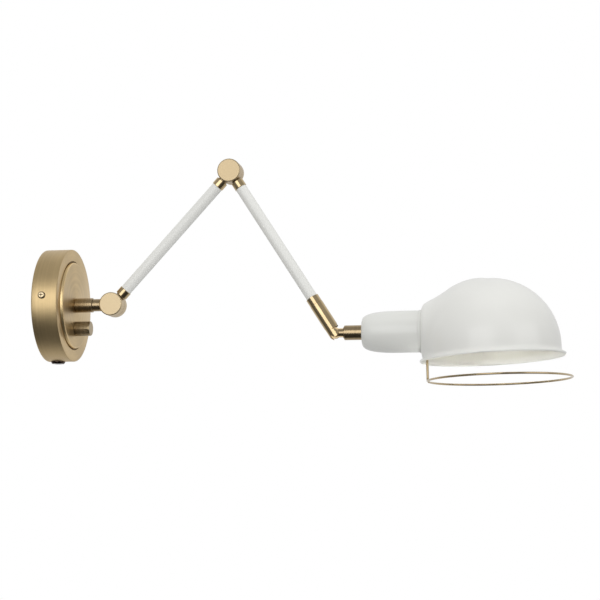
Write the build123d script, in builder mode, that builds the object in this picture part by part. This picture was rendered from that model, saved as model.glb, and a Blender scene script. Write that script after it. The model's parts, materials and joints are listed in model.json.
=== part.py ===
from build123d import *
from math import asin, atan2, cos, degrees, hypot, radians, sin, sqrt
import os

# An articulating wall lamp: a round canopy carries two straight arms on three hinges, and a spun
# shade with a wire guard. Millimetres. +X leaves the wall, +Z is up, and the origin is the middle
# of the canopy's back. The arms lie in the XZ plane.

# Fits, shared by every piece
press_gap = 0.02            # radial, between pieces that are pressed or screwed together
running_gap = 0.08          # radial, between a shaft and the hole that it turns in
air_gap = 0.35              # between curved faces that pass each other
lead_radius = 1.9
lead_bore = 2.3             # the passage that the leads are drawn through
cut_margin = 1.0            # how far a cutting shape starts outside a wall
screw_crown = 0.7           # rounding of a screw head, as a share of its height
cross_length = 1.1          # the cross slot, as shares of the head's radius and height
cross_width = 0.22
cross_depth = 0.55

# Canopy
canopy_radius = 60.0
canopy_depth = 27.6
canopy_wall = 1.6
canopy_edge = 2.0           # rounding of the outer corner
step_radius = 46.4          # the raised middle of the canopy's face
step_height = 2.4
step_edge = 0.5
groove_width = 0.9
groove_depth = 0.8

# Mounting bracket, a steel strap across the wall box with two bent ears
strap_thickness = 2.0
strap_width = 22.0
ear_reach = 18.0
ear_width = 15.0
ear_gap = 0.8               # from the ear to the canopy's wall, at the middle
slot_spacing = 80.0
slot_length = 24.0
slot_width = 5.0
wire_hole_radius = 5.5
side_screw_x = 11.5
side_screw_turn = 4.2       # degrees above the middle, seen along the stem
side_screw_radius = 2.0
side_head_radius = 3.8
side_head_height = 2.2
side_screw_length = 9.0
ground_screw_y = 18.0
ground_screw_radius = 1.75
ground_head_radius = 3.6
ground_head_height = 2.0

# Cord inlet under the canopy
inlet_x = 11.0
inlet_thread_radius = 4.9
inlet_bore_radius = 3.4
inlet_flange_radius = 7.5
inlet_flange_height = 2.4
inlet_flange_edge = 0.8     # the straight part of the flange, before its chamfer
inlet_flange_taper = 1.2
inlet_thread_length = 11.0
inlet_nut_flats = 14.0
inlet_nut_height = 3.0
inlet_panel_width = 34.0    # the part of the canopy's side that has the inlet's hole

# Rotary switch and its knob
switch_drop = 25.0          # below the middle of the canopy
switch_size = 22.0
switch_depth = 14.0
switch_corner = 2.0
switch_shaft_seat = 4.7     # how far the shaft reaches into the switch
switch_washer = 0.8
switch_washer_radius = 7.9
switch_thread_radius = 4.7
switch_thread_length = 3.6  # proud of the canopy's face
switch_nut_radius = 6.2
switch_nut_height = 1.8
switch_shaft_radius = 3.0
switch_shaft_length = 13.0  # proud of the canopy's face
terminal_radius = 2.0
terminal_height = 2.4
terminal_spacing = 11.0
knob_radius = 7.8
knob_length = 17.0
knob_edge = 0.6
knob_wall = 1.1
knob_recess = 4.2
knob_line_count = 36        # fine lines cut along the grip
knob_line_depth = 0.25
knob_line_radius = 0.3
knob_band = 1.8             # plain band at each end of the grip

# Wire connectors in the canopy
connector_radius = 4.4
connector_tip_radius = 2.6
connector_length = 17.0
connector_y = 30.0
connector_z = 22.0

# Swivels: the same turned boss at the canopy and at the socket cup
boss_radius = 7.7
boss_length = 19.0
boss_edge = 0.4
boss_wall = 4.0             # the end wall that the shank turns in
boss_thread_radius = 6.3
boss_thread_length = 12.0
chamber_radius = 5.3
shank_radius = 4.0
shank_flange_radius = 5.8
shank_flange = 0.8
spring_washer_radius = 5.0
spring_washer_thickness = 1.2
lock_nut_radius = 5.1
lock_nut_height = 4.4
swivel_gap = 0.2
boss_nut_flats = 18.0
boss_nut_height = 4.0
backing_radius = 13.0       # the plate that spreads the stem's load on the canopy
backing_thickness = 2.0

# Knuckles at the shoulder and the elbow
disc_radius = 12.5
disc_thickness = 10.2
disc_rounding = 1.2
friction_thickness = 0.5
friction_inner = 8.7
friction_outer = 11.9
neck_radius = 5.2
chamber_inner = 4.3
chamber_outer = 8.2
chamber_depth = 6.0
stop_slot_depth = 4.0
hinge_screw_radius = 2.5
hinge_thread_depth = 7.4
hinge_head_radius = 4.2
hinge_head_height = 2.4
hinge_recess_radius = 4.6
hinge_recess_depth = 3.6
hinge_washer_thickness = 0.8
hex_key_flats = 4.0
hex_key_depth = 1.6
stop_pin_radius = 1.1
stop_pin_seat = 2.4
stop_margin = 1.5           # degrees, beyond the travel at each end

# Arms
shoulder_x = 70.9
lower_length = 189.4
lower_angle = 47.6
upper_length = 207.3
upper_angle = -57.3
tube_radius = 6.0
tube_wall = 0.8
ferrule_radius = 6.6
ferrule_start = 13.2        # from the hinge to the near end of a ferrule
ferrule_length = 8.0
ferrule_lip = 1.0
ferrule_edge = 0.3
spigot_length = 11.0        # how far a knuckle's neck reaches into a tube

# Travel of the hinges, in degrees from the pose shown
shoulder_travel = (-82.0, 47.0)
elbow_travel = (-15.0, 135.0)

# Fork at the end of the upper arm
fork_radius = 7.2
fork_ferrule_radius = 7.0
fork_ferrule_start = 44.5   # before the pivot
fork_start = 36.4           # before the pivot
fork_seat = 10.4
fork_slot_end = 8.2         # before the pivot
relief_radius = 4.2
relief_half = 4.8
blade_thickness = 5.0
blade_radius = 6.0
tongue_neck_radius = 4.5
tongue_neck_start = 4.5
tongue_neck_end = 9.0
fork_washer = 0.3
fork_washer_radius = 4.0
pivot_pin_radius = 1.8

# Socket cup, from its back
cup_back_radius = 12.6
cup_back_bulge = 5.6         # pulls the curve of the cup's end outward
cup_side_bulge = 26.0        # pulls it back along the side
cup_full_x = 36.0
cup_radius = 21.7
cup_groove_x = 59.3
cup_groove_width = 0.6
cup_groove_depth = 0.4
cup_length = 62.2
cup_lip_radius = 22.4
cup_wall = 1.4
cup_washer_radius = 10.0
cup_washer_thickness = 1.0

# Lampholder for a screw lamp, from the cup's back
holder_hub_radius = 9.0
holder_cap_x = 17.3
holder_radius = 17.6
holder_cap_wall = 1.2
holder_cap_depth = 12.0
holder_shoulder_radius = 19.8
holder_shoulder = 7.0
holder_nose_radius = 17.0
holder_nose_length = 13.6   # past the cup's rim
shell_radius = 13.2         # inside, for the lamp's screw
shell_wall = 0.4
shell_length = 26.0
contact_radius = 5.0
contact_thickness = 1.2
contact_tip_radius = 2.4
contact_tip_height = 2.4

# Shade
shade_wall = 1.2
rim_offset = 71.7           # from the neck's face to the middle of the rim
rim_drop = 28.9             # from the lampholder's axis down to the rim
rim_tilt = 2.8              # degrees, rising away from the wall
rim_bead = 1.0
rim_bead_height = 0.9       # from the rim's plane to the middle of the rolled edge
rim_swell = 0.6             # how far the rolled edge stands out past the flare
skirt_flare = 3.8           # how far the wall widens below the skirt
skirt_height = 6.0          # where the rim's flare begins
dome_radius = 70.2
dome_rise = 5.9             # from the top of the flare to the middle of the dome's curve
neck_face_radius = 23.8
neck_corner = 4.4
neck_corner_radius = 29.7
neck_points = ((14.9, 35.2), (23.2, 40.2), (31.5, 45.6), (43.9, 50.8), (56.3, 53.5))
neck_reach = 5.7            # from the neck's end to the middle of the rim
neck_sink = 0.6             # from the dome's top down to the neck's end
neck_start_slope = (1, 0.52)
neck_end_slope = (1, -0.15)
neck_slant = 0.15           # extra radius taken off inside, where the neck's wall slants
gasket_radius = 22.0
gasket_thickness = 2.1
ring_flange_radius = 23.0
ring_flange = 2.2
ring_hub_radius = 19.4
ring_length = 7.0
ring_rib_count = 12
ring_rib_radius = 1.5

# Wire guard
wire_radius = 1.1
guard_drop = 50.2           # from the lampholder's axis down to the middle of the guard's ring
guard_tilt = 1.4            # degrees, rising away from the wall
guard_radius = 73.4
guard_leg_y = 2.4
guard_bend = 4.0
guard_loop_radius = 20.0
guard_loop_bend = 3.0
guard_loop_leg = 1.5
guard_lean_bend = 60.0

# Places that follow from the sizes above
flare_radius = dome_radius + skirt_flare
rim_radius = flare_radius + rim_swell
dome_middle = skirt_height + dome_rise
neck_end = (rim_offset - neck_reach, dome_middle + dome_radius - neck_sink - rim_drop)
face_x = canopy_depth + step_height
inner_face_x = face_x - canopy_wall
stem_end_x = face_x + boss_length
side_screw_y = cos(radians(side_screw_turn))
side_screw_z = sin(radians(side_screw_turn))
side_screw_planes = [
    Plane(
        origin=(side_screw_x, side * canopy_radius * side_screw_y, canopy_radius * side_screw_z),
        x_dir=(1, 0, 0),
        z_dir=(0, side * side_screw_y, side_screw_z),
    )
    for side in (-1, 1)
]
lower_direction = Vector(cos(radians(lower_angle)), 0, sin(radians(lower_angle)))
upper_direction = Vector(cos(radians(upper_angle)), 0, sin(radians(upper_angle)))
shoulder = Vector(shoulder_x, 0, 0)
elbow = shoulder + lower_direction * lower_length
pivot = elbow + upper_direction * upper_length
towards_viewer = Vector(0, -1, 0)


def frame_at(origin, direction):
    """A plane in the lamp's XZ plane whose x axis runs along a piece."""
    return Plane(origin=origin, x_dir=direction, z_dir=towards_viewer)


stem_frame = frame_at(Vector(face_x, 0, 0), Vector(1, 0, 0))
post_frame = frame_at(shoulder, Vector(-1, 0, 0))
lower_frame = frame_at(shoulder, lower_direction)
elbow_frame = frame_at(elbow, lower_direction * -1)
upper_frame = frame_at(elbow, upper_direction)
fork_frame = frame_at(pivot, upper_direction)
head_frame = frame_at(pivot, Vector(1, 0, 0))
collar_start = tongue_neck_end + shank_flange + swivel_gap
cup_back = pivot + Vector(collar_start + boss_length, 0, 0)
collar_frame = frame_at(cup_back, Vector(-1, 0, 0))
cup_frame = frame_at(cup_back, Vector(1, 0, 0))
shade_frame = frame_at(cup_back + Vector(cup_length, 0, 0), Vector(1, 0, 0))
switch_frame = frame_at(Vector(inner_face_x, 0, -switch_drop), Vector(1, 0, 0))
knob_frame = frame_at(Vector(face_x, 0, -switch_drop), Vector(1, 0, 0))

os.makedirs("parts", exist_ok=True)


def save(piece, name):
    """Labels a finished piece and writes it to its own file."""
    piece.part.label = name
    export_step(piece.part, f"parts/{name}.step")


def line_through(frame):
    """The axis along a frame's x direction."""
    return Axis(frame.origin, frame.x_dir)


def turned(frame, outline):
    """A solid turned about the frame's x axis from its half outline, a closed run of (x, radius)."""
    with BuildPart() as piece:
        with BuildSketch(frame):
            with BuildLine():
                Polyline(*outline, close=True)
            make_face()
        revolve(axis=line_through(frame))
    return piece


def ring(frame, start, end, outer, inner):
    """A plain round ring on the frame's x axis."""
    return turned(frame, ((start, inner), (end, inner), (end, outer), (start, outer)))


def cross_plane(frame, x):
    """The plane square to a frame's x axis, x along it."""
    return Plane(origin=frame.from_local_coords((x, 0, 0)), x_dir=(0, 1, 0), z_dir=frame.x_dir)


def hex_nut(frame, start, height, flats, bore):
    """A hexagon nut on the frame's x axis."""
    corner = flats / sqrt(3)
    with BuildPart() as nut:
        with BuildSketch(cross_plane(frame, start)):
            RegularPolygon(radius=corner, side_count=6)
            Circle(bore, mode=Mode.SUBTRACT)
        extrude(amount=height)
    return nut


# ---------------------------------------------------------------- canopy and what it holds


base_frame = frame_at(Vector(0, 0, 0), Vector(1, 0, 0))
inner_rim_x = canopy_depth - groove_depth - canopy_wall
inlet_panel_depth = 2 * inlet_x
with BuildPart() as pan:
    with BuildSketch(base_frame):
        with BuildLine():
            Polyline(
                (canopy_depth, canopy_radius - canopy_edge),
                (canopy_depth, step_radius + groove_width),
                (canopy_depth - groove_depth, step_radius + groove_width),
                (canopy_depth - groove_depth, step_radius),
                (face_x - step_edge, step_radius),
                (face_x, step_radius - step_edge),
                (face_x, 0),
                (inner_face_x, 0),
                (inner_face_x, step_radius - canopy_wall),
                (inner_rim_x, step_radius - canopy_wall),
                (inner_rim_x, canopy_radius - canopy_wall),
                (0, canopy_radius - canopy_wall),
                (0, canopy_radius),
                (canopy_depth - canopy_edge, canopy_radius),
            )
            RadiusArc(
                (canopy_depth - canopy_edge, canopy_radius),
                (canopy_depth, canopy_radius - canopy_edge),
                canopy_edge,
            )
        make_face()
    revolve(axis=line_through(base_frame))

# The spun pan is one piece of metal in two nodes: the part round the inlet is apart from the rest
with BuildPart() as inlet_zone:
    with BuildSketch(Plane.XY.offset(-canopy_radius - cut_margin)):
        with Locations(((inlet_panel_depth - cut_margin) / 2, 0)):
            Rectangle(inlet_panel_depth + cut_margin, inlet_panel_width)
    extrude(amount=canopy_radius / 2)

with BuildPart() as canopy:
    add(pan.part)
    with BuildSketch(cross_plane(base_frame, inner_face_x - cut_margin)):
        Circle(boss_thread_radius + press_gap)
        with Locations((0, -switch_drop)):
            Circle(switch_thread_radius + press_gap)
    extrude(amount=canopy_wall + 2 * cut_margin, mode=Mode.SUBTRACT)
    for screw_plane in side_screw_planes:
        with BuildSketch(screw_plane.offset(cut_margin)):
            Circle(side_screw_radius + running_gap)
        extrude(amount=-side_screw_length, mode=Mode.SUBTRACT)
    add(inlet_zone.part, mode=Mode.SUBTRACT)
save(canopy, "canopy")

with BuildPart() as canopy_inlet_panel:
    add(pan.part)
    add(inlet_zone.part, mode=Mode.INTERSECT)
    with BuildSketch(Plane.XY.offset(-canopy_radius - cut_margin)):
        with Locations((inlet_x, 0)):
            Circle(inlet_thread_radius + press_gap)
    extrude(amount=canopy_wall + 2 * cut_margin, mode=Mode.SUBTRACT)
save(canopy_inlet_panel, "canopy_inlet_panel")

ear_outer_y = canopy_radius - canopy_wall - ear_gap
with BuildPart() as mounting_bracket:
    with BuildSketch(Plane.YZ):
        Rectangle(2 * ear_outer_y, strap_width)
        Circle(wire_hole_radius, mode=Mode.SUBTRACT)
        with Locations((-slot_spacing / 2, 0), (slot_spacing / 2, 0)):
            SlotOverall(slot_length, slot_width, mode=Mode.SUBTRACT)
        with Locations((ground_screw_y, 0)):
            Circle(ground_screw_radius + press_gap, mode=Mode.SUBTRACT)
    extrude(amount=strap_thickness)
    fillet(mounting_bracket.edges().filter_by(Axis.X).group_by(Axis.Y)[0], strap_thickness)
    fillet(mounting_bracket.edges().filter_by(Axis.X).group_by(Axis.Y)[-1], strap_thickness)
    with BuildSketch(Plane.XY.offset(-ear_width / 2)):
        for side in (-1, 1):
            with Locations((ear_reach / 2, side * (ear_outer_y - strap_thickness / 2))):
                Rectangle(ear_reach, strap_thickness)
    extrude(amount=ear_width)
    for screw_plane in side_screw_planes:
        with BuildSketch(screw_plane):
            Circle(side_screw_radius + press_gap)
        extrude(amount=-side_screw_length, mode=Mode.SUBTRACT)
save(mounting_bracket, "mounting_bracket")


def make_screw(head_plane, shank, length, head, height):
    """A pan-head screw: the head stands on the plane, the shank goes below it."""
    with BuildPart() as screw:
        with BuildSketch(head_plane):
            Circle(head)
        extrude(amount=height)
        outward = Axis(head_plane.origin, head_plane.z_dir)
        far = screw.edges().filter_by(GeomType.CIRCLE).sort_by(outward)[-1]
        fillet(far, height * screw_crown)
        with BuildSketch(head_plane):
            Circle(shank)
        extrude(amount=-length)
        with BuildSketch(head_plane.offset(height)):
            Rectangle(head * cross_length, head * cross_width)
            Rectangle(head * cross_width, head * cross_length)
        extrude(amount=-height * cross_depth, mode=Mode.SUBTRACT)
    return screw


side_screws = [
    make_screw(plane, side_screw_radius, side_screw_length, side_head_radius, side_head_height)
    for plane in side_screw_planes
]
with BuildPart() as canopy_screws:
    for side_screw in side_screws:
        add(side_screw.part)
save(canopy_screws, "canopy_screws")

ground_plane = Plane(origin=(strap_thickness, ground_screw_y, 0), x_dir=(0, 1, 0), z_dir=(1, 0, 0))
ground_screw = make_screw(
    ground_plane,
    ground_screw_radius,
    strap_thickness,
    ground_head_radius,
    ground_head_height,
)
save(ground_screw, "ground_screw")

# Cord inlet: a flanged bush through the underside, held by a nut inside
inlet_frame = frame_at(Vector(inlet_x, 0, -canopy_radius), Vector(0, 0, 1))
with BuildPart() as inlet_bushing:
    with BuildSketch(inlet_frame):
        with BuildLine():
            Polyline(
                (-inlet_flange_height, inlet_bore_radius),
                (inlet_thread_length, inlet_bore_radius),
                (inlet_thread_length, inlet_thread_radius),
                (0, inlet_thread_radius),
                (0, inlet_flange_radius),
                (-inlet_flange_edge, inlet_flange_radius),
                (-inlet_flange_height, inlet_flange_radius - inlet_flange_taper),
                close=True,
            )
        make_face()
    revolve(axis=line_through(inlet_frame))
save(inlet_bushing, "inlet_bushing")

inlet_nut = hex_nut(
    inlet_frame,
    canopy_radius - sqrt((canopy_radius - canopy_wall) ** 2 - inlet_nut_flats**2 / 3),
    inlet_nut_height,
    inlet_nut_flats,
    inlet_thread_radius + press_gap,
)
save(inlet_nut, "inlet_nut")

# Rotary switch behind the face, its ring nut in front, and the knob on its shaft
with BuildPart() as switch_body:
    with BuildSketch(cross_plane(switch_frame, -switch_washer)):
        Rectangle(switch_size, switch_size)
    extrude(amount=-switch_depth)
    fillet(switch_body.edges().filter_by(Axis.X), switch_corner)
    with BuildSketch(cross_plane(switch_frame, -switch_washer)):
        Circle(switch_thread_radius)
    extrude(amount=switch_washer + canopy_wall + switch_thread_length)
    with BuildSketch(cross_plane(switch_frame, -switch_washer - switch_depth)):
        with GridLocations(terminal_spacing, 0, 2, 1):
            Circle(terminal_radius)
    extrude(amount=-terminal_height)
    with BuildSketch(cross_plane(switch_frame, canopy_wall + switch_thread_length)):
        Circle(switch_shaft_radius + running_gap)
    extrude(amount=-(2 * canopy_wall + switch_thread_length + switch_shaft_seat), mode=Mode.SUBTRACT)
save(switch_body, "switch_body")

switch_lock_washer = ring(
    switch_frame,
    -switch_washer,
    0,
    switch_washer_radius,
    switch_thread_radius + press_gap,
)
save(switch_lock_washer, "switch_lock_washer")

switch_ring_nut = ring(
    knob_frame, 0, switch_nut_height, switch_nut_radius, switch_thread_radius + press_gap
)
save(switch_ring_nut, "switch_ring_nut")

switch_shaft = turned(
    knob_frame,
    (
        (-canopy_wall - switch_shaft_seat, 0),
        (switch_shaft_length, 0),
        (switch_shaft_length, switch_shaft_radius),
        (-canopy_wall - switch_shaft_seat, switch_shaft_radius),
    ),
)
save(switch_shaft, "switch_shaft")

with BuildPart() as knob:
    with BuildSketch(knob_frame):
        with BuildLine():
            Polyline(
                (air_gap, knob_radius),
                (air_gap, knob_radius - knob_wall),
                (knob_recess, knob_radius - knob_wall),
                (knob_recess, switch_shaft_radius + press_gap),
                (switch_shaft_length + press_gap, switch_shaft_radius + press_gap),
                (switch_shaft_length + press_gap, 0),
                (knob_length, 0),
                (knob_length, knob_radius - knob_edge),
                (knob_length - knob_edge, knob_radius),
                close=True,
            )
        make_face()
    revolve(axis=line_through(knob_frame))
    with BuildSketch(cross_plane(knob_frame, knob_length - knob_band)):
        with PolarLocations(knob_radius + knob_line_radius - knob_line_depth, knob_line_count):
            Circle(knob_line_radius)
    extrude(amount=-(knob_length - 2 * knob_band), mode=Mode.SUBTRACT)
save(knob, "knob")

# Wire connectors, lying against the inside of the face
connector_taper = degrees(atan2(connector_radius - connector_tip_radius, connector_length))
with BuildPart() as wire_connectors:
    for side in (-1, 1):
        connector_top = Vector(inner_face_x - connector_radius, side * connector_y, connector_z)
        with BuildSketch(Plane(origin=connector_top, x_dir=(1, 0, 0), z_dir=(0, 0, -1))):
            Circle(connector_radius)
        extrude(amount=connector_length, taper=connector_taper)
save(wire_connectors, "wire_connectors")

# ---------------------------------------------------------------- swivels


def make_boss(frame):
    """A swivel's turned boss: a thread behind, a chamber, and the end wall that a shank turns in."""
    hole = shank_radius + running_gap
    return turned(
        frame,
        (
            (-boss_thread_length, chamber_radius),
            (boss_length - boss_wall, chamber_radius),
            (boss_length - boss_wall, hole),
            (boss_length, hole),
            (boss_length, boss_radius - boss_edge),
            (boss_length - boss_edge, boss_radius),
            (boss_edge, boss_radius),
            (0, boss_radius - boss_edge),
            (0, boss_thread_radius),
            (-boss_thread_length, boss_thread_radius),
        ),
    )


def swivel_fasteners(frame):
    """The washer and the round nut that hold a shank in its boss."""
    washer_end = boss_length - boss_wall
    nut_end = washer_end - spring_washer_thickness
    washer = ring(
        frame,
        nut_end,
        washer_end,
        spring_washer_radius,
        shank_radius + press_gap,
    )
    nut = ring(frame, nut_end - lock_nut_height, nut_end, lock_nut_radius, shank_radius + press_gap)
    return washer, nut


shank_length = boss_wall + spring_washer_thickness + lock_nut_height + swivel_gap

stem_boss = make_boss(stem_frame)
save(stem_boss, "stem_boss")
collar = make_boss(collar_frame)
save(collar, "collar")

stem_backing_plate = ring(
    stem_frame,
    -canopy_wall - backing_thickness,
    -canopy_wall,
    backing_radius,
    boss_thread_radius + press_gap,
)
save(stem_backing_plate, "stem_backing_plate")
stem_nut = hex_nut(
    stem_frame,
    -canopy_wall - backing_thickness - boss_nut_height,
    boss_nut_height,
    boss_nut_flats,
    boss_thread_radius + press_gap,
)
save(stem_nut, "stem_nut")

base_spring_washer, base_lock_nut = swivel_fasteners(stem_frame)
save(base_spring_washer, "base_spring_washer")
save(base_lock_nut, "base_lock_nut")
head_spring_washer, head_lock_nut = swivel_fasteners(collar_frame)
save(head_spring_washer, "head_spring_washer")
save(head_lock_nut, "head_lock_nut")

# ---------------------------------------------------------------- knuckles

stop_radius = (chamber_inner + chamber_outer) / 2


def knuckle_half(frame, side, steps, slot_angle, pin_angle):
    """One disc of a hinge, with its neck and shaft along the frame's x axis.

    The near disc (side 1) has a round wire chamber, the screw's thread and the stop pin's seat.
    The far disc (side -1) has the slot that the stop pin runs in, and the screw's recess.
    """
    mating = side * friction_thickness / 2
    face = mating + side * disc_thickness
    slot_line = stop_arc(slot_angle)
    with BuildPart() as half:
        with BuildSketch(frame.offset(mating)):
            Circle(disc_radius)
        extrude(amount=side * disc_thickness)
        rim = half.edges().filter_by(GeomType.CIRCLE).sort_by(Axis.Y)
        fillet(rim[0] if side > 0 else rim[-1], disc_rounding)
        for start, end, radius in steps:
            with BuildSketch(frame):
                with BuildLine():
                    Polyline((start, 0), (end, 0), (end, radius), (start, radius), close=True)
                make_face()
            revolve(axis=line_through(frame))
        # room for the other disc to turn past the neck
        with BuildSketch(frame.offset(mating)):
            Circle(disc_radius + air_gap)
        extrude(amount=-side * (disc_thickness + friction_thickness), mode=Mode.SUBTRACT)
        # passage for the leads
        with BuildSketch(frame):
            with BuildLine():
                bore_end = steps[-1][1]
                Polyline(
                    (stop_radius, 0),
                    (bore_end, 0),
                    (bore_end, lead_bore),
                    (stop_radius, lead_bore),
                    close=True,
                )
            make_face()
        revolve(axis=line_through(frame), mode=Mode.SUBTRACT)
        if side > 0:
            with BuildSketch(frame.offset(mating)):
                Circle(chamber_outer)
                Circle(chamber_inner, mode=Mode.SUBTRACT)
            extrude(amount=chamber_depth, mode=Mode.SUBTRACT)
            with BuildSketch(frame.offset(mating)):
                Circle(hinge_screw_radius + press_gap)
            extrude(amount=hinge_thread_depth, mode=Mode.SUBTRACT)
            with BuildSketch(frame.offset(mating + chamber_depth)):
                with Locations(around(stop_radius, pin_angle)):
                    Circle(stop_pin_radius + press_gap)
            extrude(amount=stop_pin_seat, mode=Mode.SUBTRACT)
        else:
            with BuildSketch(frame.offset(mating)):
                SlotArc(slot_line, 2 * (stop_pin_radius + air_gap))
            extrude(amount=-stop_slot_depth, mode=Mode.SUBTRACT)
            with BuildSketch(frame.offset(face)):
                Circle(hinge_recess_radius)
            extrude(amount=hinge_recess_depth, mode=Mode.SUBTRACT)
            with BuildSketch(frame.offset(mating)):
                Circle(hinge_screw_radius + running_gap)
            extrude(amount=-disc_thickness, mode=Mode.SUBTRACT)
    return half


def around(radius, angle):
    """A point on a circle, in a frame's own x and y."""
    return (radius * cos(radians(angle)), radius * sin(radians(angle)))


def stop_arc(travel):
    """The middle line of a stop slot, opposite the neck, as long as the hinge's travel."""
    sweep = travel + 2 * stop_margin
    return CenterArc((0, 0), stop_radius, 180 - sweep / 2, sweep, mode=Mode.PRIVATE)


def hinge_fasteners(frame, pin_angle):
    """The friction washer, the stop pin, the screw from the far side and its spring washer."""
    mating = friction_thickness / 2
    with BuildPart() as friction:
        with BuildSketch(frame.offset(-mating)):
            Circle(friction_outer)
            Circle(friction_inner, mode=Mode.SUBTRACT)
        extrude(amount=friction_thickness)
    with BuildPart() as pin:
        with BuildSketch(frame.offset(mating + chamber_depth + stop_pin_seat - press_gap)):
            with Locations(around(stop_radius, pin_angle)):
                Circle(stop_pin_radius)
        extrude(amount=-(chamber_depth + stop_pin_seat + friction_thickness + stop_slot_depth - air_gap))
    recess_floor = -(mating + disc_thickness - hinge_recess_depth)
    with BuildPart() as washer:
        with BuildSketch(frame.offset(recess_floor)):
            Circle(hinge_head_radius)
            Circle(hinge_screw_radius + press_gap, mode=Mode.SUBTRACT)
        extrude(amount=-hinge_washer_thickness)
    with BuildPart() as screw:
        with BuildSketch(frame.offset(recess_floor - hinge_washer_thickness)):
            Circle(hinge_head_radius)
        extrude(amount=-hinge_head_height)
        with BuildSketch(frame.offset(recess_floor - hinge_washer_thickness)):
            Circle(hinge_screw_radius)
        extrude(amount=-recess_floor + hinge_washer_thickness + mating + hinge_thread_depth - air_gap)
        with BuildSketch(frame.offset(recess_floor - hinge_washer_thickness - hinge_head_height)):
            RegularPolygon(radius=hex_key_flats / sqrt(3), side_count=6)
        extrude(amount=hex_key_depth, mode=Mode.SUBTRACT)
    return friction, pin, washer, screw


def angle_of(direction):
    """A direction's angle above +X, in degrees."""
    return degrees(atan2(direction.Z, direction.X))


def pin_angle_in(near_frame, far_frame, travel):
    """Where the near disc holds its stop pin: opposite the far neck, half way through the travel."""
    middle = (travel[0] + travel[1]) / 2
    return angle_of(far_frame.x_dir) + middle + 180 - angle_of(near_frame.x_dir)


def neck_steps(length):
    """A knuckle's neck and the spigot that fits a tube."""
    return ((0, ferrule_start + length, neck_radius),)


shoulder_pin_angle = pin_angle_in(post_frame, lower_frame, shoulder_travel)
elbow_pin_angle = pin_angle_in(elbow_frame, upper_frame, elbow_travel)
flange_start = shoulder_x - stem_end_x - shank_flange - swivel_gap
post_steps = (
    (0, flange_start, neck_radius),
    (flange_start, flange_start + shank_flange, shank_flange_radius),
    (flange_start + shank_flange, flange_start + shank_flange + shank_length, shank_radius),
)
shoulder_sweep = shoulder_travel[1] - shoulder_travel[0]
elbow_sweep = elbow_travel[1] - elbow_travel[0]

shoulder_post = knuckle_half(post_frame, 1, post_steps, 0, shoulder_pin_angle)
save(shoulder_post, "shoulder_post")
lower_arm_root = knuckle_half(lower_frame, -1, neck_steps(spigot_length), shoulder_sweep, 0)
save(lower_arm_root, "lower_arm_root")
elbow_near_half = knuckle_half(elbow_frame, 1, neck_steps(spigot_length), 0, elbow_pin_angle)
save(elbow_near_half, "elbow_near_half")
elbow_far_half = knuckle_half(upper_frame, -1, neck_steps(spigot_length), elbow_sweep, 0)
save(elbow_far_half, "elbow_far_half")

for name, frame, pin_angle in (
    ("shoulder", post_frame, shoulder_pin_angle),
    ("elbow", elbow_frame, elbow_pin_angle),
):
    friction, pin, washer, screw = hinge_fasteners(frame, pin_angle)
    save(friction, f"{name}_friction_washer")
    save(pin, f"{name}_stop_pin")
    save(washer, f"{name}_spring_washer")
    save(screw, f"{name}_hinge_screw")

# ---------------------------------------------------------------- arms


def make_ferrule(frame, outer):
    """A short sleeve over a tube's end, with a lip that closes on the knuckle's neck."""
    end = ferrule_start + ferrule_length
    tube_bore = tube_radius + press_gap
    lip_end = ferrule_start + ferrule_lip
    return turned(
        frame,
        (
            (ferrule_start, neck_radius + press_gap),
            (lip_end, neck_radius + press_gap),
            (lip_end, tube_bore),
            (end, tube_bore),
            (end, outer - ferrule_edge),
            (end - ferrule_edge, outer),
            (ferrule_start + ferrule_edge, outer),
            (ferrule_start, outer - ferrule_edge),
        ),
    )


shoulder_ferrule = ring(
    post_frame, ferrule_start, flange_start, ferrule_radius, neck_radius + press_gap
)
save(shoulder_ferrule, "shoulder_ferrule")
lower_root_ferrule = make_ferrule(lower_frame, ferrule_radius)
save(lower_root_ferrule, "lower_root_ferrule")
lower_tip_ferrule = make_ferrule(elbow_frame, ferrule_radius)
save(lower_tip_ferrule, "lower_tip_ferrule")
upper_root_ferrule = make_ferrule(upper_frame, ferrule_radius)
save(upper_root_ferrule, "upper_root_ferrule")

tube_start = ferrule_start + ferrule_lip + press_gap
tube_bore_radius = tube_radius - tube_wall + press_gap
lower_tube = ring(lower_frame, tube_start, lower_length - tube_start, tube_radius, tube_bore_radius)
save(lower_tube, "lower_tube")
upper_tube_end = upper_length - fork_start + fork_seat - press_gap
upper_tube = ring(upper_frame, tube_start, upper_tube_end, tube_radius, tube_bore_radius)
save(upper_tube, "upper_tube")

lead_start = disc_radius + air_gap
lower_lead = turned(
    lower_frame,
    (
        (lead_start, 0),
        (lower_length - lead_start, 0),
        (lower_length - lead_start, lead_radius),
        (lead_start, lead_radius),
    ),
)
save(lower_lead, "lower_lead")
upper_lead = turned(
    upper_frame,
    (
        (lead_start, 0),
        (upper_length - fork_slot_end - air_gap, 0),
        (upper_length - fork_slot_end - air_gap, lead_radius),
        (lead_start, lead_radius),
    ),
)
save(upper_lead, "upper_lead")

# ---------------------------------------------------------------- fork

fork_ferrule = ring(
    fork_frame, -fork_ferrule_start, -fork_start - press_gap, fork_ferrule_radius, tube_radius + press_gap
)
save(fork_ferrule, "fork_ferrule")

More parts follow.
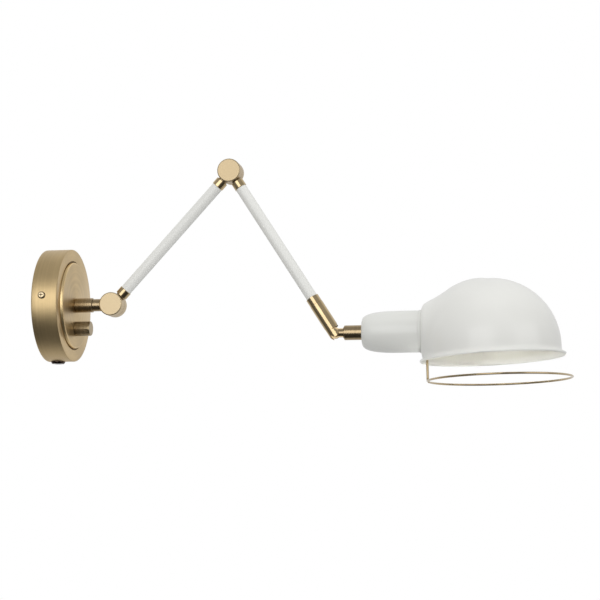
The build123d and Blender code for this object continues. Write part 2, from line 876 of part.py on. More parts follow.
slot_half = blade_thickness / 2 + fork_washer
with BuildPart() as fork:
    with BuildSketch(fork_frame):
        with BuildLine():
            Polyline(
                (-fork_start, tube_radius + press_gap),
                (-fork_start + fork_seat, tube_radius + press_gap),
                (-fork_start + fork_seat, lead_bore),
                (-fork_slot_end, lead_bore),
                (-fork_slot_end, 0),
                (fork_radius, 0),
                (fork_radius, fork_radius),
                (-fork_start + ferrule_edge, fork_radius),
                (-fork_start, fork_radius - ferrule_edge),
                close=True,
            )
        make_face()
    revolve(axis=line_through(fork_frame))
    # the end is rounded about the pivot
    with BuildSketch(fork_frame.offset(-fork_radius)):
        with Locations((fork_radius, 0)):
            Rectangle(2 * fork_radius, 3 * fork_radius)
        Circle(fork_radius, mode=Mode.SUBTRACT)
    extrude(amount=2 * fork_radius, mode=Mode.SUBTRACT)
    # the slot that the tongue's blade turns in
    with BuildSketch(fork_frame.offset(-slot_half)):
        with Locations((fork_radius, 0)):
            Rectangle(2 * (fork_radius + fork_slot_end), 3 * fork_radius)
    extrude(amount=2 * slot_half, mode=Mode.SUBTRACT)
    # relief on one side, so that the tongue's neck can swing from in line to square
    with BuildSketch(fork_frame.offset(-fork_radius)):
        with Locations((-relief_half, 0)):
            Rectangle(3 * fork_radius, 2 * fork_radius, align=(Align.MIN, Align.MIN))
        with Locations((0, -relief_half)):
            Rectangle(2 * fork_radius, 3 * fork_radius, align=(Align.MIN, Align.MIN))
        Circle(relief_radius, mode=Mode.SUBTRACT)
    extrude(amount=2 * fork_radius, mode=Mode.SUBTRACT)
    with BuildSketch(fork_frame.offset(-fork_radius)):
        Circle(pivot_pin_radius + press_gap)
    extrude(amount=2 * fork_radius, mode=Mode.SUBTRACT)
save(fork, "fork")

pin_half = sqrt(fork_radius**2 - pivot_pin_radius**2) - press_gap
with BuildPart() as pivot_pin:
    with BuildSketch(fork_frame.offset(-pin_half)):
        Circle(pivot_pin_radius)
    extrude(amount=2 * pin_half)
save(pivot_pin, "pivot_pin")

with BuildPart() as fork_washers:
    for side in (-1, 1):
        with BuildSketch(fork_frame.offset(side * blade_thickness / 2)):
            Circle(fork_washer_radius)
            Circle(pivot_pin_radius + press_gap, mode=Mode.SUBTRACT)
        extrude(amount=side * fork_washer)
save(fork_washers, "fork_washers")

# ---------------------------------------------------------------- tongue

shank_start = tongue_neck_end + shank_flange
with BuildPart() as tongue:
    with BuildSketch(head_frame):
        with BuildLine():
            Polyline(
                (0, 0),
                (shank_start + shank_length, 0),
                (shank_start + shank_length, shank_radius),
                (shank_start, shank_radius),
                (shank_start, shank_flange_radius),
                (tongue_neck_end, shank_flange_radius),
                (tongue_neck_end, tongue_neck_radius),
                (0, tongue_neck_radius),
                close=True,
            )
        make_face()
    revolve(axis=line_through(head_frame))
    # clear the fork's cheeks round the pivot
    with BuildSketch(head_frame.offset(-tongue_neck_radius)):
        Circle(tongue_neck_start)
    extrude(amount=2 * tongue_neck_radius, mode=Mode.SUBTRACT)
    with BuildSketch(head_frame.offset(-blade_thickness / 2)):
        Circle(blade_radius)
        with Locations((tongue_neck_start, 0)):
            Rectangle(2 * tongue_neck_start, 2 * tongue_neck_radius)
    extrude(amount=blade_thickness)
    with BuildSketch(head_frame.offset(-tongue_neck_radius)):
        Circle(pivot_pin_radius + running_gap)
    extrude(amount=2 * tongue_neck_radius, mode=Mode.SUBTRACT)
    with BuildSketch(cross_plane(head_frame, shank_start + shank_length)):
        Circle(lead_radius)
    extrude(amount=-(shank_start + shank_length - tongue_neck_start), mode=Mode.SUBTRACT)
save(tongue, "tongue")

# ---------------------------------------------------------------- socket cup and lampholder

with BuildPart() as socket_cup:
    with BuildSketch(cup_frame):
        with BuildLine():
            Line((0, boss_thread_radius + press_gap), (0, cup_back_radius))
            Bezier(
                (0, cup_back_radius),
                (0, cup_back_radius + cup_back_bulge),
                (cup_full_x - cup_side_bulge, cup_radius),
                (cup_full_x, cup_radius),
            )
            Polyline(
                (cup_full_x, cup_radius),
                (cup_groove_x, cup_radius),
                (cup_groove_x, cup_radius - cup_groove_depth),
                (cup_groove_x + cup_groove_width, cup_radius - cup_groove_depth),
                (cup_groove_x + cup_groove_width, cup_lip_radius),
                (cup_length - cup_groove_width, cup_lip_radius),
                (cup_length, cup_lip_radius - cup_groove_width),
                (cup_length, cup_radius - cup_wall),
                (cup_full_x, cup_radius - cup_wall),
            )
            Bezier(
                (cup_full_x, cup_radius - cup_wall),
                (cup_full_x - cup_side_bulge + cup_wall, cup_radius - cup_wall),
                (cup_wall, cup_back_radius + cup_back_bulge - cup_wall),
                (cup_wall, cup_back_radius - cup_wall),
            )
            Polyline(
                (cup_wall, cup_back_radius - cup_wall),
                (cup_wall, boss_thread_radius + press_gap),
                (0, boss_thread_radius + press_gap),
            )
        make_face()
    revolve(axis=line_through(cup_frame))
save(socket_cup, "socket_cup")

hub_start = cup_wall + cup_washer_thickness
cup_washer = ring(
    cup_frame, cup_wall, hub_start, cup_washer_radius, boss_thread_radius + press_gap
)
save(cup_washer, "cup_washer")

cap_floor = holder_cap_x + holder_cap_wall
cap_end = holder_cap_x + holder_cap_depth
holder_cap = turned(
    cup_frame,
    (
        (hub_start, boss_thread_radius + press_gap),
        (cap_floor, boss_thread_radius + press_gap),
        (cap_floor, holder_radius - holder_cap_wall),
        (cap_end, holder_radius - holder_cap_wall),
        (cap_end, holder_radius),
        (holder_cap_x, holder_radius),
        (holder_cap_x, holder_hub_radius),
        (hub_start, holder_hub_radius),
    ),
)
save(holder_cap, "holder_cap")

nose_end = cup_length + holder_nose_length
shell_start = nose_end - shell_length - 2 * shell_wall
shell_outer = shell_radius + shell_wall
socket_floor = shell_start - contact_tip_height - contact_thickness
holder_body = turned(
    cup_frame,
    (
        (cap_floor, lead_bore),
        (socket_floor, lead_bore),
        (socket_floor, holder_radius),
        (cap_end, holder_radius),
        (cap_end, holder_radius - holder_cap_wall - press_gap),
        (cap_floor, holder_radius - holder_cap_wall - press_gap),
    ),
)
save(holder_body, "holder_body")

holder_sleeve = turned(
    cup_frame,
    (
        (socket_floor, shell_outer + press_gap),
        (nose_end, shell_outer + press_gap),
        (nose_end, holder_nose_radius),
        (cup_length, holder_nose_radius),
        (cup_length, holder_shoulder_radius),
        (cup_length - holder_shoulder, holder_shoulder_radius),
        (cup_length - holder_shoulder, holder_radius),
        (socket_floor, holder_radius),
    ),
)
save(holder_sleeve, "holder_sleeve")

screw_shell = ring(cup_frame, shell_start, shell_start + shell_length, shell_outer, shell_radius)
save(screw_shell, "screw_shell")

centre_contact = turned(
    cup_frame,
    (
        (socket_floor, 0),
        (socket_floor + contact_thickness + contact_tip_height, 0),
        (socket_floor + contact_thickness + contact_tip_height, contact_tip_radius),
        (socket_floor + contact_thickness, contact_radius),
        (socket_floor, contact_radius),
    ),
)
save(centre_contact, "centre_contact")

# ---------------------------------------------------------------- shade

rim_centre = shade_frame.from_local_coords((rim_offset, -rim_drop, 0))
rim_direction = Vector(cos(radians(rim_tilt)), 0, sin(radians(rim_tilt)))
dome_frame = frame_at(rim_centre, rim_direction)
dome_axis = Axis(dome_frame.origin, dome_frame.y_dir)
rim_plane = Plane(origin=rim_centre, x_dir=rim_direction, z_dir=dome_frame.y_dir)
mouth_plane = rim_plane.offset(-shade_wall / 4)


def dome_outline(wall):
    """Half of the dome's outline, drawn a wall's thickness inside its outer surface."""
    radius = dome_radius - wall
    rim = (flare_radius - wall / 2, wall / -2)
    with BuildLine(mode=Mode.PRIVATE) as outline:
        RadiusArc((0, dome_middle + radius), (radius, dome_middle), radius)
        Line((radius, dome_middle), (radius, skirt_height))
        TangentArc((radius, skirt_height), rim, tangent=(0, -1))
        Polyline(rim, (0, rim[1]), (0, dome_middle + radius))
    return outline.line


def neck_outline(wall):
    """Half of the neck's outline, drawn a wall's thickness inside its outer surface."""
    shift = wall + neck_slant if wall else 0
    corner = (neck_corner + wall / 2, neck_corner_radius - shift)
    end = (neck_end[0] + wall, neck_end[1] - wall)
    points = [(x, radius - shift) for x, radius in neck_points]
    with BuildLine(mode=Mode.PRIVATE) as outline:
        Line((wall, 0), (wall, neck_face_radius - wall / 2))
        TangentArc((wall, neck_face_radius - wall / 2), corner, tangent=(0, 1))
        Spline(corner, *points, end, tangents=(neck_start_slope, neck_end_slope))
        Polyline(end, (end[0], 0), (wall, 0))
    return outline.line


dome_outer = dome_outline(0).edges()
dome_inner = dome_outline(shade_wall).edges()
neck_outer = neck_outline(0).edges()
neck_inner = neck_outline(shade_wall).edges()
with BuildPart() as shade:
    with BuildSketch(dome_frame):
        make_face(dome_outer)
        with Locations((rim_radius - rim_bead, rim_bead_height)):
            Circle(rim_bead)
    revolve(axis=dome_axis)
    with BuildSketch(shade_frame):
        make_face(neck_outer)
    revolve(axis=line_through(shade_frame))
    with BuildSketch(dome_frame):
        make_face(dome_inner)
    revolve(axis=dome_axis, mode=Mode.SUBTRACT)
    with BuildSketch(shade_frame):
        make_face(neck_inner)
    revolve(axis=line_through(shade_frame), mode=Mode.SUBTRACT)
    with BuildSketch(cross_plane(shade_frame, -shade_wall)):
        Circle(holder_nose_radius + air_gap)
    extrude(amount=3 * shade_wall, mode=Mode.SUBTRACT)
    with BuildSketch(mouth_plane):
        Circle(2 * rim_radius)
    extrude(amount=-rim_radius, mode=Mode.SUBTRACT)
save(shade, "shade")

guard_seat = shade_wall + gasket_thickness
ring_start = guard_seat + 2 * wire_radius
shade_gasket = ring(
    shade_frame, shade_wall, guard_seat, gasket_radius, holder_nose_radius + air_gap
)
save(shade_gasket, "shade_gasket")

with BuildPart() as shade_ring:
    with BuildSketch(shade_frame):
        with BuildLine():
            Polyline(
                (ring_start, holder_nose_radius + press_gap),
                (ring_start + ring_length, holder_nose_radius + press_gap),
                (ring_start + ring_length, ring_hub_radius),
                (ring_start + ring_flange, ring_hub_radius),
                (ring_start + ring_flange, ring_flange_radius),
                (ring_start, ring_flange_radius),
                close=True,
            )
        make_face()
    revolve(axis=line_through(shade_frame))
    with BuildSketch(cross_plane(shade_frame, ring_start + ring_flange)):
        with PolarLocations(ring_hub_radius, ring_rib_count):
            Circle(ring_rib_radius)
    extrude(amount=ring_length - ring_flange)
    with BuildSketch(cross_plane(shade_frame, ring_start)):
        Circle(holder_nose_radius + press_gap)
    extrude(amount=ring_length, mode=Mode.SUBTRACT)
save(shade_ring, "shade_ring")

# ---------------------------------------------------------------- wire guard


def wire_point(x, y, z):
    """A point of the wire: along the lampholder's axis, to the side, and above it."""
    return shade_frame.from_local_coords((x, z, -y))


# The loop lies in one upright plane, its legs bend down from it
wire_x = guard_seat + wire_radius
bend_y = guard_leg_y + guard_loop_bend
bend_reach = guard_loop_radius + guard_loop_bend
bend_drop = sqrt(bend_reach**2 - bend_y**2)
loop_share = guard_loop_radius / bend_reach
loop_top = wire_point(wire_x, 0, guard_loop_radius)
loop_side = wire_point(wire_x, guard_loop_radius, 0)
loop_end = wire_point(wire_x, bend_y * loop_share, -bend_drop * loop_share)
leg_top = wire_point(wire_x, guard_leg_y, -bend_drop)

# The legs lean by the ring's tilt, so that they stand square on it
tilt = radians(guard_tilt)
lean_end_z = -bend_drop - guard_loop_leg
lean_start_x = wire_x + guard_lean_bend * (1 - cos(tilt))
lean_start_z = lean_end_z - guard_lean_bend * sin(tilt)
leg_reach = sqrt(guard_radius**2 + guard_bend**2 - guard_leg_y**2)
leg_height = (lean_start_z + guard_drop + leg_reach * sin(tilt)) / cos(tilt)
ring_middle = wire_point(
    lean_start_x + leg_reach * cos(tilt) + leg_height * sin(tilt), 0, -guard_drop
)
guard_frame = Plane(
    origin=ring_middle, x_dir=(cos(tilt), 0, sin(tilt)), z_dir=(-sin(tilt), 0, cos(tilt))
)
ring_end_angle = asin(guard_leg_y / hypot(guard_radius, guard_bend)) + atan2(guard_bend, guard_radius)


def guard_point(x, y, z):
    """A point from the middle of the guard's ring, square to it."""
    return guard_frame.from_local_coords((x, y, z))


ring_far = guard_point(guard_radius, 0, 0)
ring_side = guard_point(0, guard_radius, 0)
ring_end = guard_point(
    -guard_radius * cos(ring_end_angle), guard_radius * sin(ring_end_angle), 0
)
leg_foot = guard_point(-leg_reach, guard_leg_y, guard_bend)
leg_end = guard_point(-leg_reach, guard_leg_y, leg_height)
lean_end = wire_point(wire_x, guard_leg_y, lean_end_z)
ring_end_direction = guard_frame.x_dir * -sin(ring_end_angle) - Vector(0, cos(ring_end_angle), 0)

with BuildPart() as wire_guard:
    with BuildLine() as ring_path:
        ThreePointArc(ring_far, ring_side, ring_end)
        TangentArc(ring_end, leg_foot, tangent=ring_end_direction)
    with BuildSketch(Plane(origin=ring_far, z_dir=(0, 1, 0))):
        Circle(wire_radius)
    sweep(path=ring_path.line)
    mirror(about=Plane.XZ)
save(wire_guard, "wire_guard")

with BuildPart() as guard_hanger:
    with BuildLine() as hanger_path:
        Line(leg_foot, leg_end)
        TangentArc(leg_end, lean_end, tangent=guard_frame.z_dir)
        Line(lean_end, leg_top)
        TangentArc(leg_top, loop_end, tangent=(0, 0, 1))
        ThreePointArc(loop_end, loop_side, loop_top)
    with BuildSketch(Plane(origin=leg_foot, z_dir=guard_frame.z_dir)):
        Circle(wire_radius)
    sweep(path=hanger_path.line)
    mirror(about=Plane.XZ)
save(guard_hanger, "guard_hanger")
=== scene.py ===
import json
import logging
import math
from dataclasses import dataclass
from enum import Enum
from typing import Any, Protocol, Sequence

import bmesh
import bpy
import numpy as np
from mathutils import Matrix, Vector

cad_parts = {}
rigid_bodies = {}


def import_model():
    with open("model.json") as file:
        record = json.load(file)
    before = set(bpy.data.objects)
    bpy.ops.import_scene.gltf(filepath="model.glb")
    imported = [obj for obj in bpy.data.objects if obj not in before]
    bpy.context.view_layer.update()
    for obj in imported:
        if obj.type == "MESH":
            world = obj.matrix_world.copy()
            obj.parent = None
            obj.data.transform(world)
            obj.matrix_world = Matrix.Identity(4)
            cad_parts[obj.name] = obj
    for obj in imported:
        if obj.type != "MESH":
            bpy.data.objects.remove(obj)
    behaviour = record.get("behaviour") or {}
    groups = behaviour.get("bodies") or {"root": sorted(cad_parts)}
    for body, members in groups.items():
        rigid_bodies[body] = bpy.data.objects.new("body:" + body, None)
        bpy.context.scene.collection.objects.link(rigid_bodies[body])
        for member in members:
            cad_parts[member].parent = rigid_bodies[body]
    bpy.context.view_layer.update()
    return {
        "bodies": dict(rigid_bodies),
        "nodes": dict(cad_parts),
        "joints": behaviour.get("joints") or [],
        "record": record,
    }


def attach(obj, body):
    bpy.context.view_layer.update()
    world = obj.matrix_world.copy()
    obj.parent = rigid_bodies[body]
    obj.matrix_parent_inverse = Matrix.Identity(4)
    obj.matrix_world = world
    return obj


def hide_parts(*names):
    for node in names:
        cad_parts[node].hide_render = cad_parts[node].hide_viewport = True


logging.basicConfig(level=logging.INFO, format="%(message)s")
LOG = logging.getLogger("wall_lamp")

Colour = tuple[float, float, float]
Point = tuple[float, float, float]
Tones = tuple[float, float]
Profile = Sequence[tuple[float, float]]

MM = 0.001
FULL_TURN = 2 * math.pi
ORIGIN: Point = (0.0, 0.0, 0.0)
OBJECT_MIDDLE: Point = (0.2736, 0.0, 0.0008)
UP: Point = (0.0, 0.0, 1.0)
BEHIND: Point = (0.0, 1.0, 0.0)
WHITE: Colour = (1.0, 1.0, 1.0)


def leaning(degrees: float) -> Point:
    """The direction of an arm that rises by so many degrees as it leaves the wall."""
    return (math.cos(math.radians(degrees)), 0.0, math.sin(math.radians(degrees)))


class Axis(Enum):
    """The direction that a turned or drawn piece lies along."""

    X = (1.0, 0.0, 0.0)
    LOWER_ARM = leaning(47.6)
    UPPER_ARM = leaning(-57.3)


# ---------------------------------------------------------------- shader helpers


class Value:
    """A socket that takes part in arithmetic; every operator adds a Math node."""

    def __init__(self, tree: "NodeTree", socket: bpy.types.NodeSocket) -> None:
        """Wraps one output socket of a tree."""
        self.tree = tree
        self.socket = socket

    def _math(self, operation: str, *terms: "Value | float") -> "Value":
        """Adds a Math node.

        Args:
            operation: The Math node's operation.
            terms: Its inputs, values or numbers.

        Returns:
            The node's result.
        """
        return self.tree.node("ShaderNodeMath", {"operation": operation}, dict(enumerate(terms)))

    def __add__(self, other: "Value | float") -> "Value":
        """Adds."""
        return self._math("ADD", self, other)

    __radd__ = __add__

    def __sub__(self, other: "Value | float") -> "Value":
        """Subtracts."""
        return self._math("SUBTRACT", self, other)

    def __rsub__(self, other: float) -> "Value":
        """Subtracts from a number."""
        return self._math("SUBTRACT", other, self)

    def __mul__(self, other: "Value | float") -> "Value":
        """Multiplies."""
        return self._math("MULTIPLY", self, other)

    __rmul__ = __mul__

    def or_more(self, other: "Value") -> "Value":
        """The larger of two values."""
        return self._math("MAXIMUM", self, other)

    def between(self, low: float, high: float) -> "Value":
        """Rises smoothly from 0 at low to 1 at high."""
        return self.tree.node(
            "ShaderNodeMapRange",
            {"interpolation_type": "SMOOTHSTEP"},
            {"Value": self, "From Min": low, "From Max": high},
        )

    def ramp(self, low: float, high: float, top: float = 1.0) -> "Value":
        """Rises evenly from 0 at low to top at high."""
        return self.tree.node(
            "ShaderNodeMapRange",
            {},
            {"Value": self, "From Min": low, "From Max": high, "To Max": top},
        )


def weighed(*parts: tuple[Value, float]) -> Value:
    """Adds patterns up.

    Args:
        parts: Patterns from 0 to 1, each with its weight.

    Returns:
        Their sum.
    """
    first, *others = (pattern * weight for pattern, weight in parts)
    return sum(others, first)


def around(mean: float, *parts: tuple[Value, float]) -> Value:
    """Lets patterns move a number evenly up and down from its mean.

    Args:
        mean: The number in the middle.
        parts: Patterns from 0 to 1, each with its weight.

    Returns:
        The number that varies.
    """
    return weighed(*parts) + (mean - sum(weight for _, weight in parts) / 2)


class NodeTree:
    """The nodes of one material or of the world."""

    def __init__(self, owner: "bpy.types.Material | bpy.types.World") -> None:
        """Switches the owner's nodes on."""
        owner.use_nodes = True
        self.graph = owner.node_tree

    def node(
        self, kind: str, settings: dict[str, Any], inputs: dict[Any, Any], output: Any = 0
    ) -> Value:
        """Adds one node.

        Args:
            kind: The node's type.
            settings: Properties that are set before its sockets.
            inputs: Numbers, colours or links for its sockets, by name or place.
            output: The output that is wanted, by name or place.

        Returns:
            That output.
        """
        node = self.graph.nodes.new(kind)
        for key, setting in settings.items():
            setattr(node, key, setting)
        for key, given in inputs.items():
            self.feed(node.inputs[key], given)
        return Value(self, node.outputs[output])

    def feed(self, socket: bpy.types.NodeSocket, given: Any) -> None:
        """Gives an input socket what it needs.

        Args:
            socket: The socket.
            given: A value to link, or a number, vector or colour to set.
        """
        if isinstance(given, Value):
            self.graph.links.new(given.socket, socket)
        elif socket.type == "RGBA":
            socket.default_value = (*given, 1.0)
        else:
            socket.default_value = given

    def along(self, point: Value, direction: Point) -> Value:
        """How far a point lies along a direction."""
        return self.node(
            "ShaderNodeVectorMath", {"operation": "DOT_PRODUCT"}, {0: point, 1: direction}, "Value"
        )


class Shader(NodeTree):
    """One material being made, with its Principled shader."""

    def __init__(self, name: str) -> None:
        """Starts a material.

        Args:
            name: The material's name.
        """
        self.material = bpy.data.materials.new(name)
        super().__init__(self.material)
        self.surface = self.graph.nodes["Principled BSDF"]

    def set(self, **constants: Any) -> None:
        """Sets what is the same all over the surface."""
        for name, constant in constants.items():
            self.feed(self.surface.inputs[name.replace("_", " ")], constant)

    def drive(self, socket: str, value: Value) -> None:
        """Links what changes over the surface to the shader."""
        self.feed(self.surface.inputs[socket], value)

    def place(self) -> Value:
        """The point on the piece, in metres."""
        return self.node("ShaderNodeTexCoord", {}, {}, "Object")

    def scaled(self, point: Value, scale: Point) -> Value:
        """Stretches a point along its axes."""
        return self.node("ShaderNodeVectorMath", {"operation": "MULTIPLY"}, {0: point, 1: scale})

    def away(self, point: Value, middle: Point = ORIGIN) -> Value:
        """How far a point is from another."""
        return self.node(
            "ShaderNodeVectorMath", {"operation": "DISTANCE"}, {0: point, 1: middle}, "Value"
        )

    def noise(self, point: Value, scale: float, detail: float) -> Value:
        """A soft random pattern from 0 to 1."""
        return self.node(
            "ShaderNodeTexNoise", {}, {"Vector": point, "Scale": scale, "Detail": detail}
        )

    def lines(self, distance: Value, scale: float, detail: float) -> Value:
        """A random pattern that changes with one distance only, for turning lines."""
        return self.node(
            "ShaderNodeTexNoise",
            {"noise_dimensions": "1D"},
            {"W": distance, "Scale": scale, "Detail": detail},
        )

    def mix(self, share: Value, first: "Colour | Value", second: "Colour | Value") -> Value:
        """Mixes two colours."""
        return self.node(
            "ShaderNodeMix", {"data_type": "RGBA"}, {0: share, 6: first, 7: second}, 2
        )

    def tinted(self, tone: Value, colour: Colour, tones: Tones) -> Value:
        """A colour that follows a tone, from its darkest to its palest share."""
        return self.mix(tone, shade_of(colour, tones[0]), shade_of(colour, tones[1]))

    def bump(self, pattern: Value, strength: float, height: float) -> None:
        """Raises the surface by a pattern, height metres at most."""
        normal = self.node(
            "ShaderNodeBump", {}, {"Height": pattern, "Strength": strength, "Distance": height}
        )
        self.drive("Normal", normal)


def shade_of(colour: Colour, share: float) -> Colour:
    """A darker or lighter shade of a colour."""
    return (colour[0] * share, colour[1] * share, colour[2] * share)


# ---------------------------------------------------------------- finishes


# Where a pattern counts as all dark and as all pale.
CONTRAST = (0.3, 0.7)
SOFT_CONTRAST = (0.25, 0.75)
FIRM_CONTRAST = (0.35, 0.65)


class Finish(Protocol):
    """What each finish can do."""

    def material(self) -> bpy.types.Material:
        """Makes the finish's material."""


@dataclass(frozen=True)
class TurnedBrass:
    """Satin brass with fine lines round the axis that it was turned about."""

    name: str
    colour: Colour
    roughness: float
    middle: Point = ORIGIN
    axis: Axis = Axis.X
    tones: Tones = (0.86, 1.08)
    fine_scale: float = 1600.0
    fine_slant: float = 3.0
    broad_scale: float = 1600.0 / 12
    broad_slant: float = 2.0
    cloud_scale: float = 38.0
    line_height: float = 0.00004

    def material(self) -> bpy.types.Material:
        """Makes the material.

        Returns:
            The Blender material.
        """
        shader = Shader(self.name)
        point = shader.place()
        depth = shader.along(point, self.axis.value)
        out = shader.away(point, self.middle)
        fine = shader.lines(out + depth * self.fine_slant, self.fine_scale, detail=3.0)
        broad = shader.lines(out * self.broad_slant + depth, self.broad_scale, detail=2.0)
        cloud = shader.noise(point, self.cloud_scale, detail=3.0)
        tone = weighed((broad, 0.5), (cloud, 0.5)).between(*CONTRAST)
        shader.drive("Base Color", shader.tinted(tone, self.colour, self.tones))
        shader.drive("Roughness", around(self.roughness, (fine, 0.10), (cloud, 0.08)))
        shader.bump(fine, strength=0.6, height=self.line_height)
        shader.set(Metallic=1.0)
        return shader.material


@dataclass(frozen=True)
class SpunBrass:
    """Brass brushed in circles round the piece's own upright axis, under a thin lacquer.

    The raised middle's edge has a painted highlight, and the groove round it has painted shade.
    """

    name: str
    colour: Colour
    step_radius: float
    groove_radius: float
    roughness: float = 0.34
    tones: Tones = (0.88, 1.06)
    # How much brighter the painted highlight on the raised middle's edge is.
    painted_highlight: float = 1.35
    highlight_gloss: float = 0.08
    # How dark the painted shade in the groove is, and how fully it covers the groove.
    groove_shade: float = 0.22
    groove_shade_cover: float = 0.8
    highlight_width: float = 0.0016
    highlight_blend: float = 0.0005
    edge_inner: float = 0.0004
    edge_outer: float = 0.0001
    groove_blend: float = 0.0003
    fine_scale: float = 3200.0
    broad_scale: float = 260.0
    cloud_scale: float = 30.0
    line_height: float = 0.00002

    def material(self) -> bpy.types.Material:
        """Makes the material.

        Returns:
            The Blender material.
        """
        shader = Shader(self.name)
        point = shader.place()
        out = shader.away(shader.scaled(point, (1.0, 1.0, 0.0)))
        depth = shader.along(point, UP)
        fine = shader.lines(out + depth, self.fine_scale, detail=3.0)
        broad = shader.lines(out + depth, self.broad_scale, detail=2.0)
        cloud = shader.noise(point, self.cloud_scale, detail=3.0)
        tone = weighed((broad, 0.4), (cloud, 0.6)).between(*CONTRAST)
        colour = shader.tinted(tone, self.colour, self.tones)
        step, groove = self.step_radius, self.groove_radius
        past_step = out.between(step - self.edge_inner, step + self.edge_outer)
        # Painted highlight along the raised middle's edge, which also lowers the roughness there.
        highlight_from = step - self.highlight_width
        painted_highlight = out.between(highlight_from, highlight_from + self.highlight_blend) * (1 - past_step)
        in_groove = past_step * (1 - out.between(groove, groove + self.groove_blend))
        colour = shader.mix(painted_highlight, colour, shade_of(self.colour, self.painted_highlight))
        # Painted shade in the groove round the raised middle.
        colour = shader.mix(
            in_groove * self.groove_shade_cover, colour, shade_of(self.colour, self.groove_shade)
        )
        brushed = around(self.roughness, (fine, 0.10), (cloud, 0.06))
        shader.drive("Base Color", colour)
        shader.drive("Roughness", brushed - painted_highlight * self.highlight_gloss)
        shader.bump(fine, strength=0.5, height=self.line_height)
        shader.set(Metallic=1.0, Anisotropic=0.75, Coat_Weight=0.05, Coat_Roughness=0.25)
        return shader.material


@dataclass(frozen=True)
class KnuckleBrass:
    """A hinge half: its disc is satin and pale, and the neck on it is turned and darker."""

    name: str
    hinge: Point
    face: Colour
    neck: Colour = (0.42, 0.33, 0.21)
    face_tones: Tones = (0.95, 1.03)
    neck_tones: Tones = (0.85, 1.08)
    disc_radius: float = 0.0128
    disc_blend: float = 0.0004
    roughness: float = 0.40
    neck_gloss: float = 0.10
    cloud_scale: float = 70.0
    grain_scale: float = 900.0
    line_scale: float = 1500.0
    line_height: float = 0.00002

    def material(self) -> bpy.types.Material:
        """Makes the material.

        Returns:
            The Blender material.
        """
        shader = Shader(self.name)
        point = shader.place()
        from_hinge = shader.away(shader.scaled(point, (1.0, 0.0, 1.0)), self.hinge)
        on_neck = from_hinge.between(
            self.disc_radius - self.disc_blend, self.disc_radius + self.disc_blend
        )
        cloud = shader.noise(point, self.cloud_scale, detail=3.0)
        grain = shader.noise(point, self.grain_scale, detail=1.0)
        lines = shader.lines(from_hinge, self.line_scale, detail=2.0)
        tone = weighed((cloud, 0.7), (grain, 0.3)).between(*CONTRAST)
        pale = shader.tinted(tone, self.face, self.face_tones)
        dark = shader.tinted(lines.between(*CONTRAST), self.neck, self.neck_tones)
        satin = around(self.roughness, (grain, 0.06), (cloud, 0.06))
        shader.drive("Base Color", shader.mix(on_neck, pale, dark))
        shader.drive("Roughness", satin - on_neck * self.neck_gloss)
        shader.bump(lines * on_neck, strength=0.4, height=self.line_height)
        shader.set(Metallic=1.0, Coat_Weight=0.1, Coat_Roughness=0.2)
        return shader.material


@dataclass(frozen=True)
class ScrewBrass:
    """Bright screw heads round the canopy's side, with painted shade on their recesses and
    undersides.
    """

    name: str
    top: float
    colour: Colour = (0.66, 0.53, 0.34)
    # The colour of the painted shade below the head's top.
    painted_shade: Colour = (0.05, 0.035, 0.02)
    tones: Tones = (0.9, 1.06)
    roughness: float = 0.2
    shade_dullness: float = 0.2
    shade_from: float = 0.0010
    shade_to: float = 0.0006
    cloud_scale: float = 300.0
    cloud_height: float = 0.00002

    def material(self) -> bpy.types.Material:
        """Makes the material.

        Returns:
            The Blender material.
        """
        shader = Shader(self.name)
        point = shader.place()
        out = shader.away(shader.scaled(point, (0.0, 1.0, 1.0)))
        cloud = shader.noise(point, self.cloud_scale, detail=3.0)
        # Everything below the head's top gets painted shade, darker and duller.
        unshaded = out.between(self.top - self.shade_from, self.top - self.shade_to)
        bright = shader.tinted(cloud, self.colour, self.tones)
        shader.drive("Base Color", shader.mix(unshaded, self.painted_shade, bright))
        polished = around(self.roughness, (cloud, 0.1))
        shader.drive("Roughness", polished + (1 - unshaded) * self.shade_dullness)
        shader.bump(cloud, strength=0.2, height=self.cloud_height)
        shader.set(Metallic=1.0)
        return shader.material


@dataclass(frozen=True)
class PolishedBrass:
    """Bright brass with fine polishing lines round the piece."""

    name: str
    colour: Colour = (0.62, 0.48, 0.28)
    roughness: float = 0.12
    axis: Axis = Axis.X
    tones: Tones = (0.90, 1.06)
    line_scale: float = 2600.0
    cloud_scale: float = 60.0
    line_height: float = 0.00002

    def material(self) -> bpy.types.Material:
        """Makes the material.

        Returns:
            The Blender material.
        """
        shader = Shader(self.name)
        point = shader.place()
        fine = shader.lines(shader.along(point, self.axis.value), self.line_scale, detail=3.0)
        cloud = shader.noise(point, self.cloud_scale, detail=3.0)
        tone = cloud.between(*CONTRAST)
        shader.drive("Base Color", shader.tinted(tone, self.colour, self.tones))
        shader.drive("Roughness", around(self.roughness, (fine, 0.06), (cloud, 0.08)))
        shader.bump(fine, strength=0.4, height=self.line_height)
        shader.set(Metallic=1.0)
        return shader.material


@dataclass(frozen=True)
class Enamel:
    """Gloss stove enamel on spun steel: a little orange peel, and slightly uneven gloss."""

    name: str
    colour: Colour = (0.82, 0.82, 0.785)
    roughness: float = 0.30
    coat: float = 0.25
    tones: Tones = (0.975, 1.01)
    cloud_scale: float = 14.0
    peel_scale: float = 300.0
    peel_height: float = 0.000004

    def material(self) -> bpy.types.Material:
        """Makes the material.

        Returns:
            The Blender material.
        """
        shader = Shader(self.name)
        point = shader.place()
        cloud = shader.noise(point, self.cloud_scale, detail=3.0)
        peel = shader.noise(point, self.peel_scale, detail=1.0)
        tone = cloud.between(*FIRM_CONTRAST)
        shader.drive("Base Color", shader.tinted(tone, self.colour, self.tones))
        shader.drive("Roughness", around(self.roughness, (cloud, 0.10)))
        shader.bump(peel, strength=0.1, height=self.peel_height)
        shader.set(Coat_Weight=self.coat, Coat_Roughness=0.12, IOR=1.48)
        return shader.material


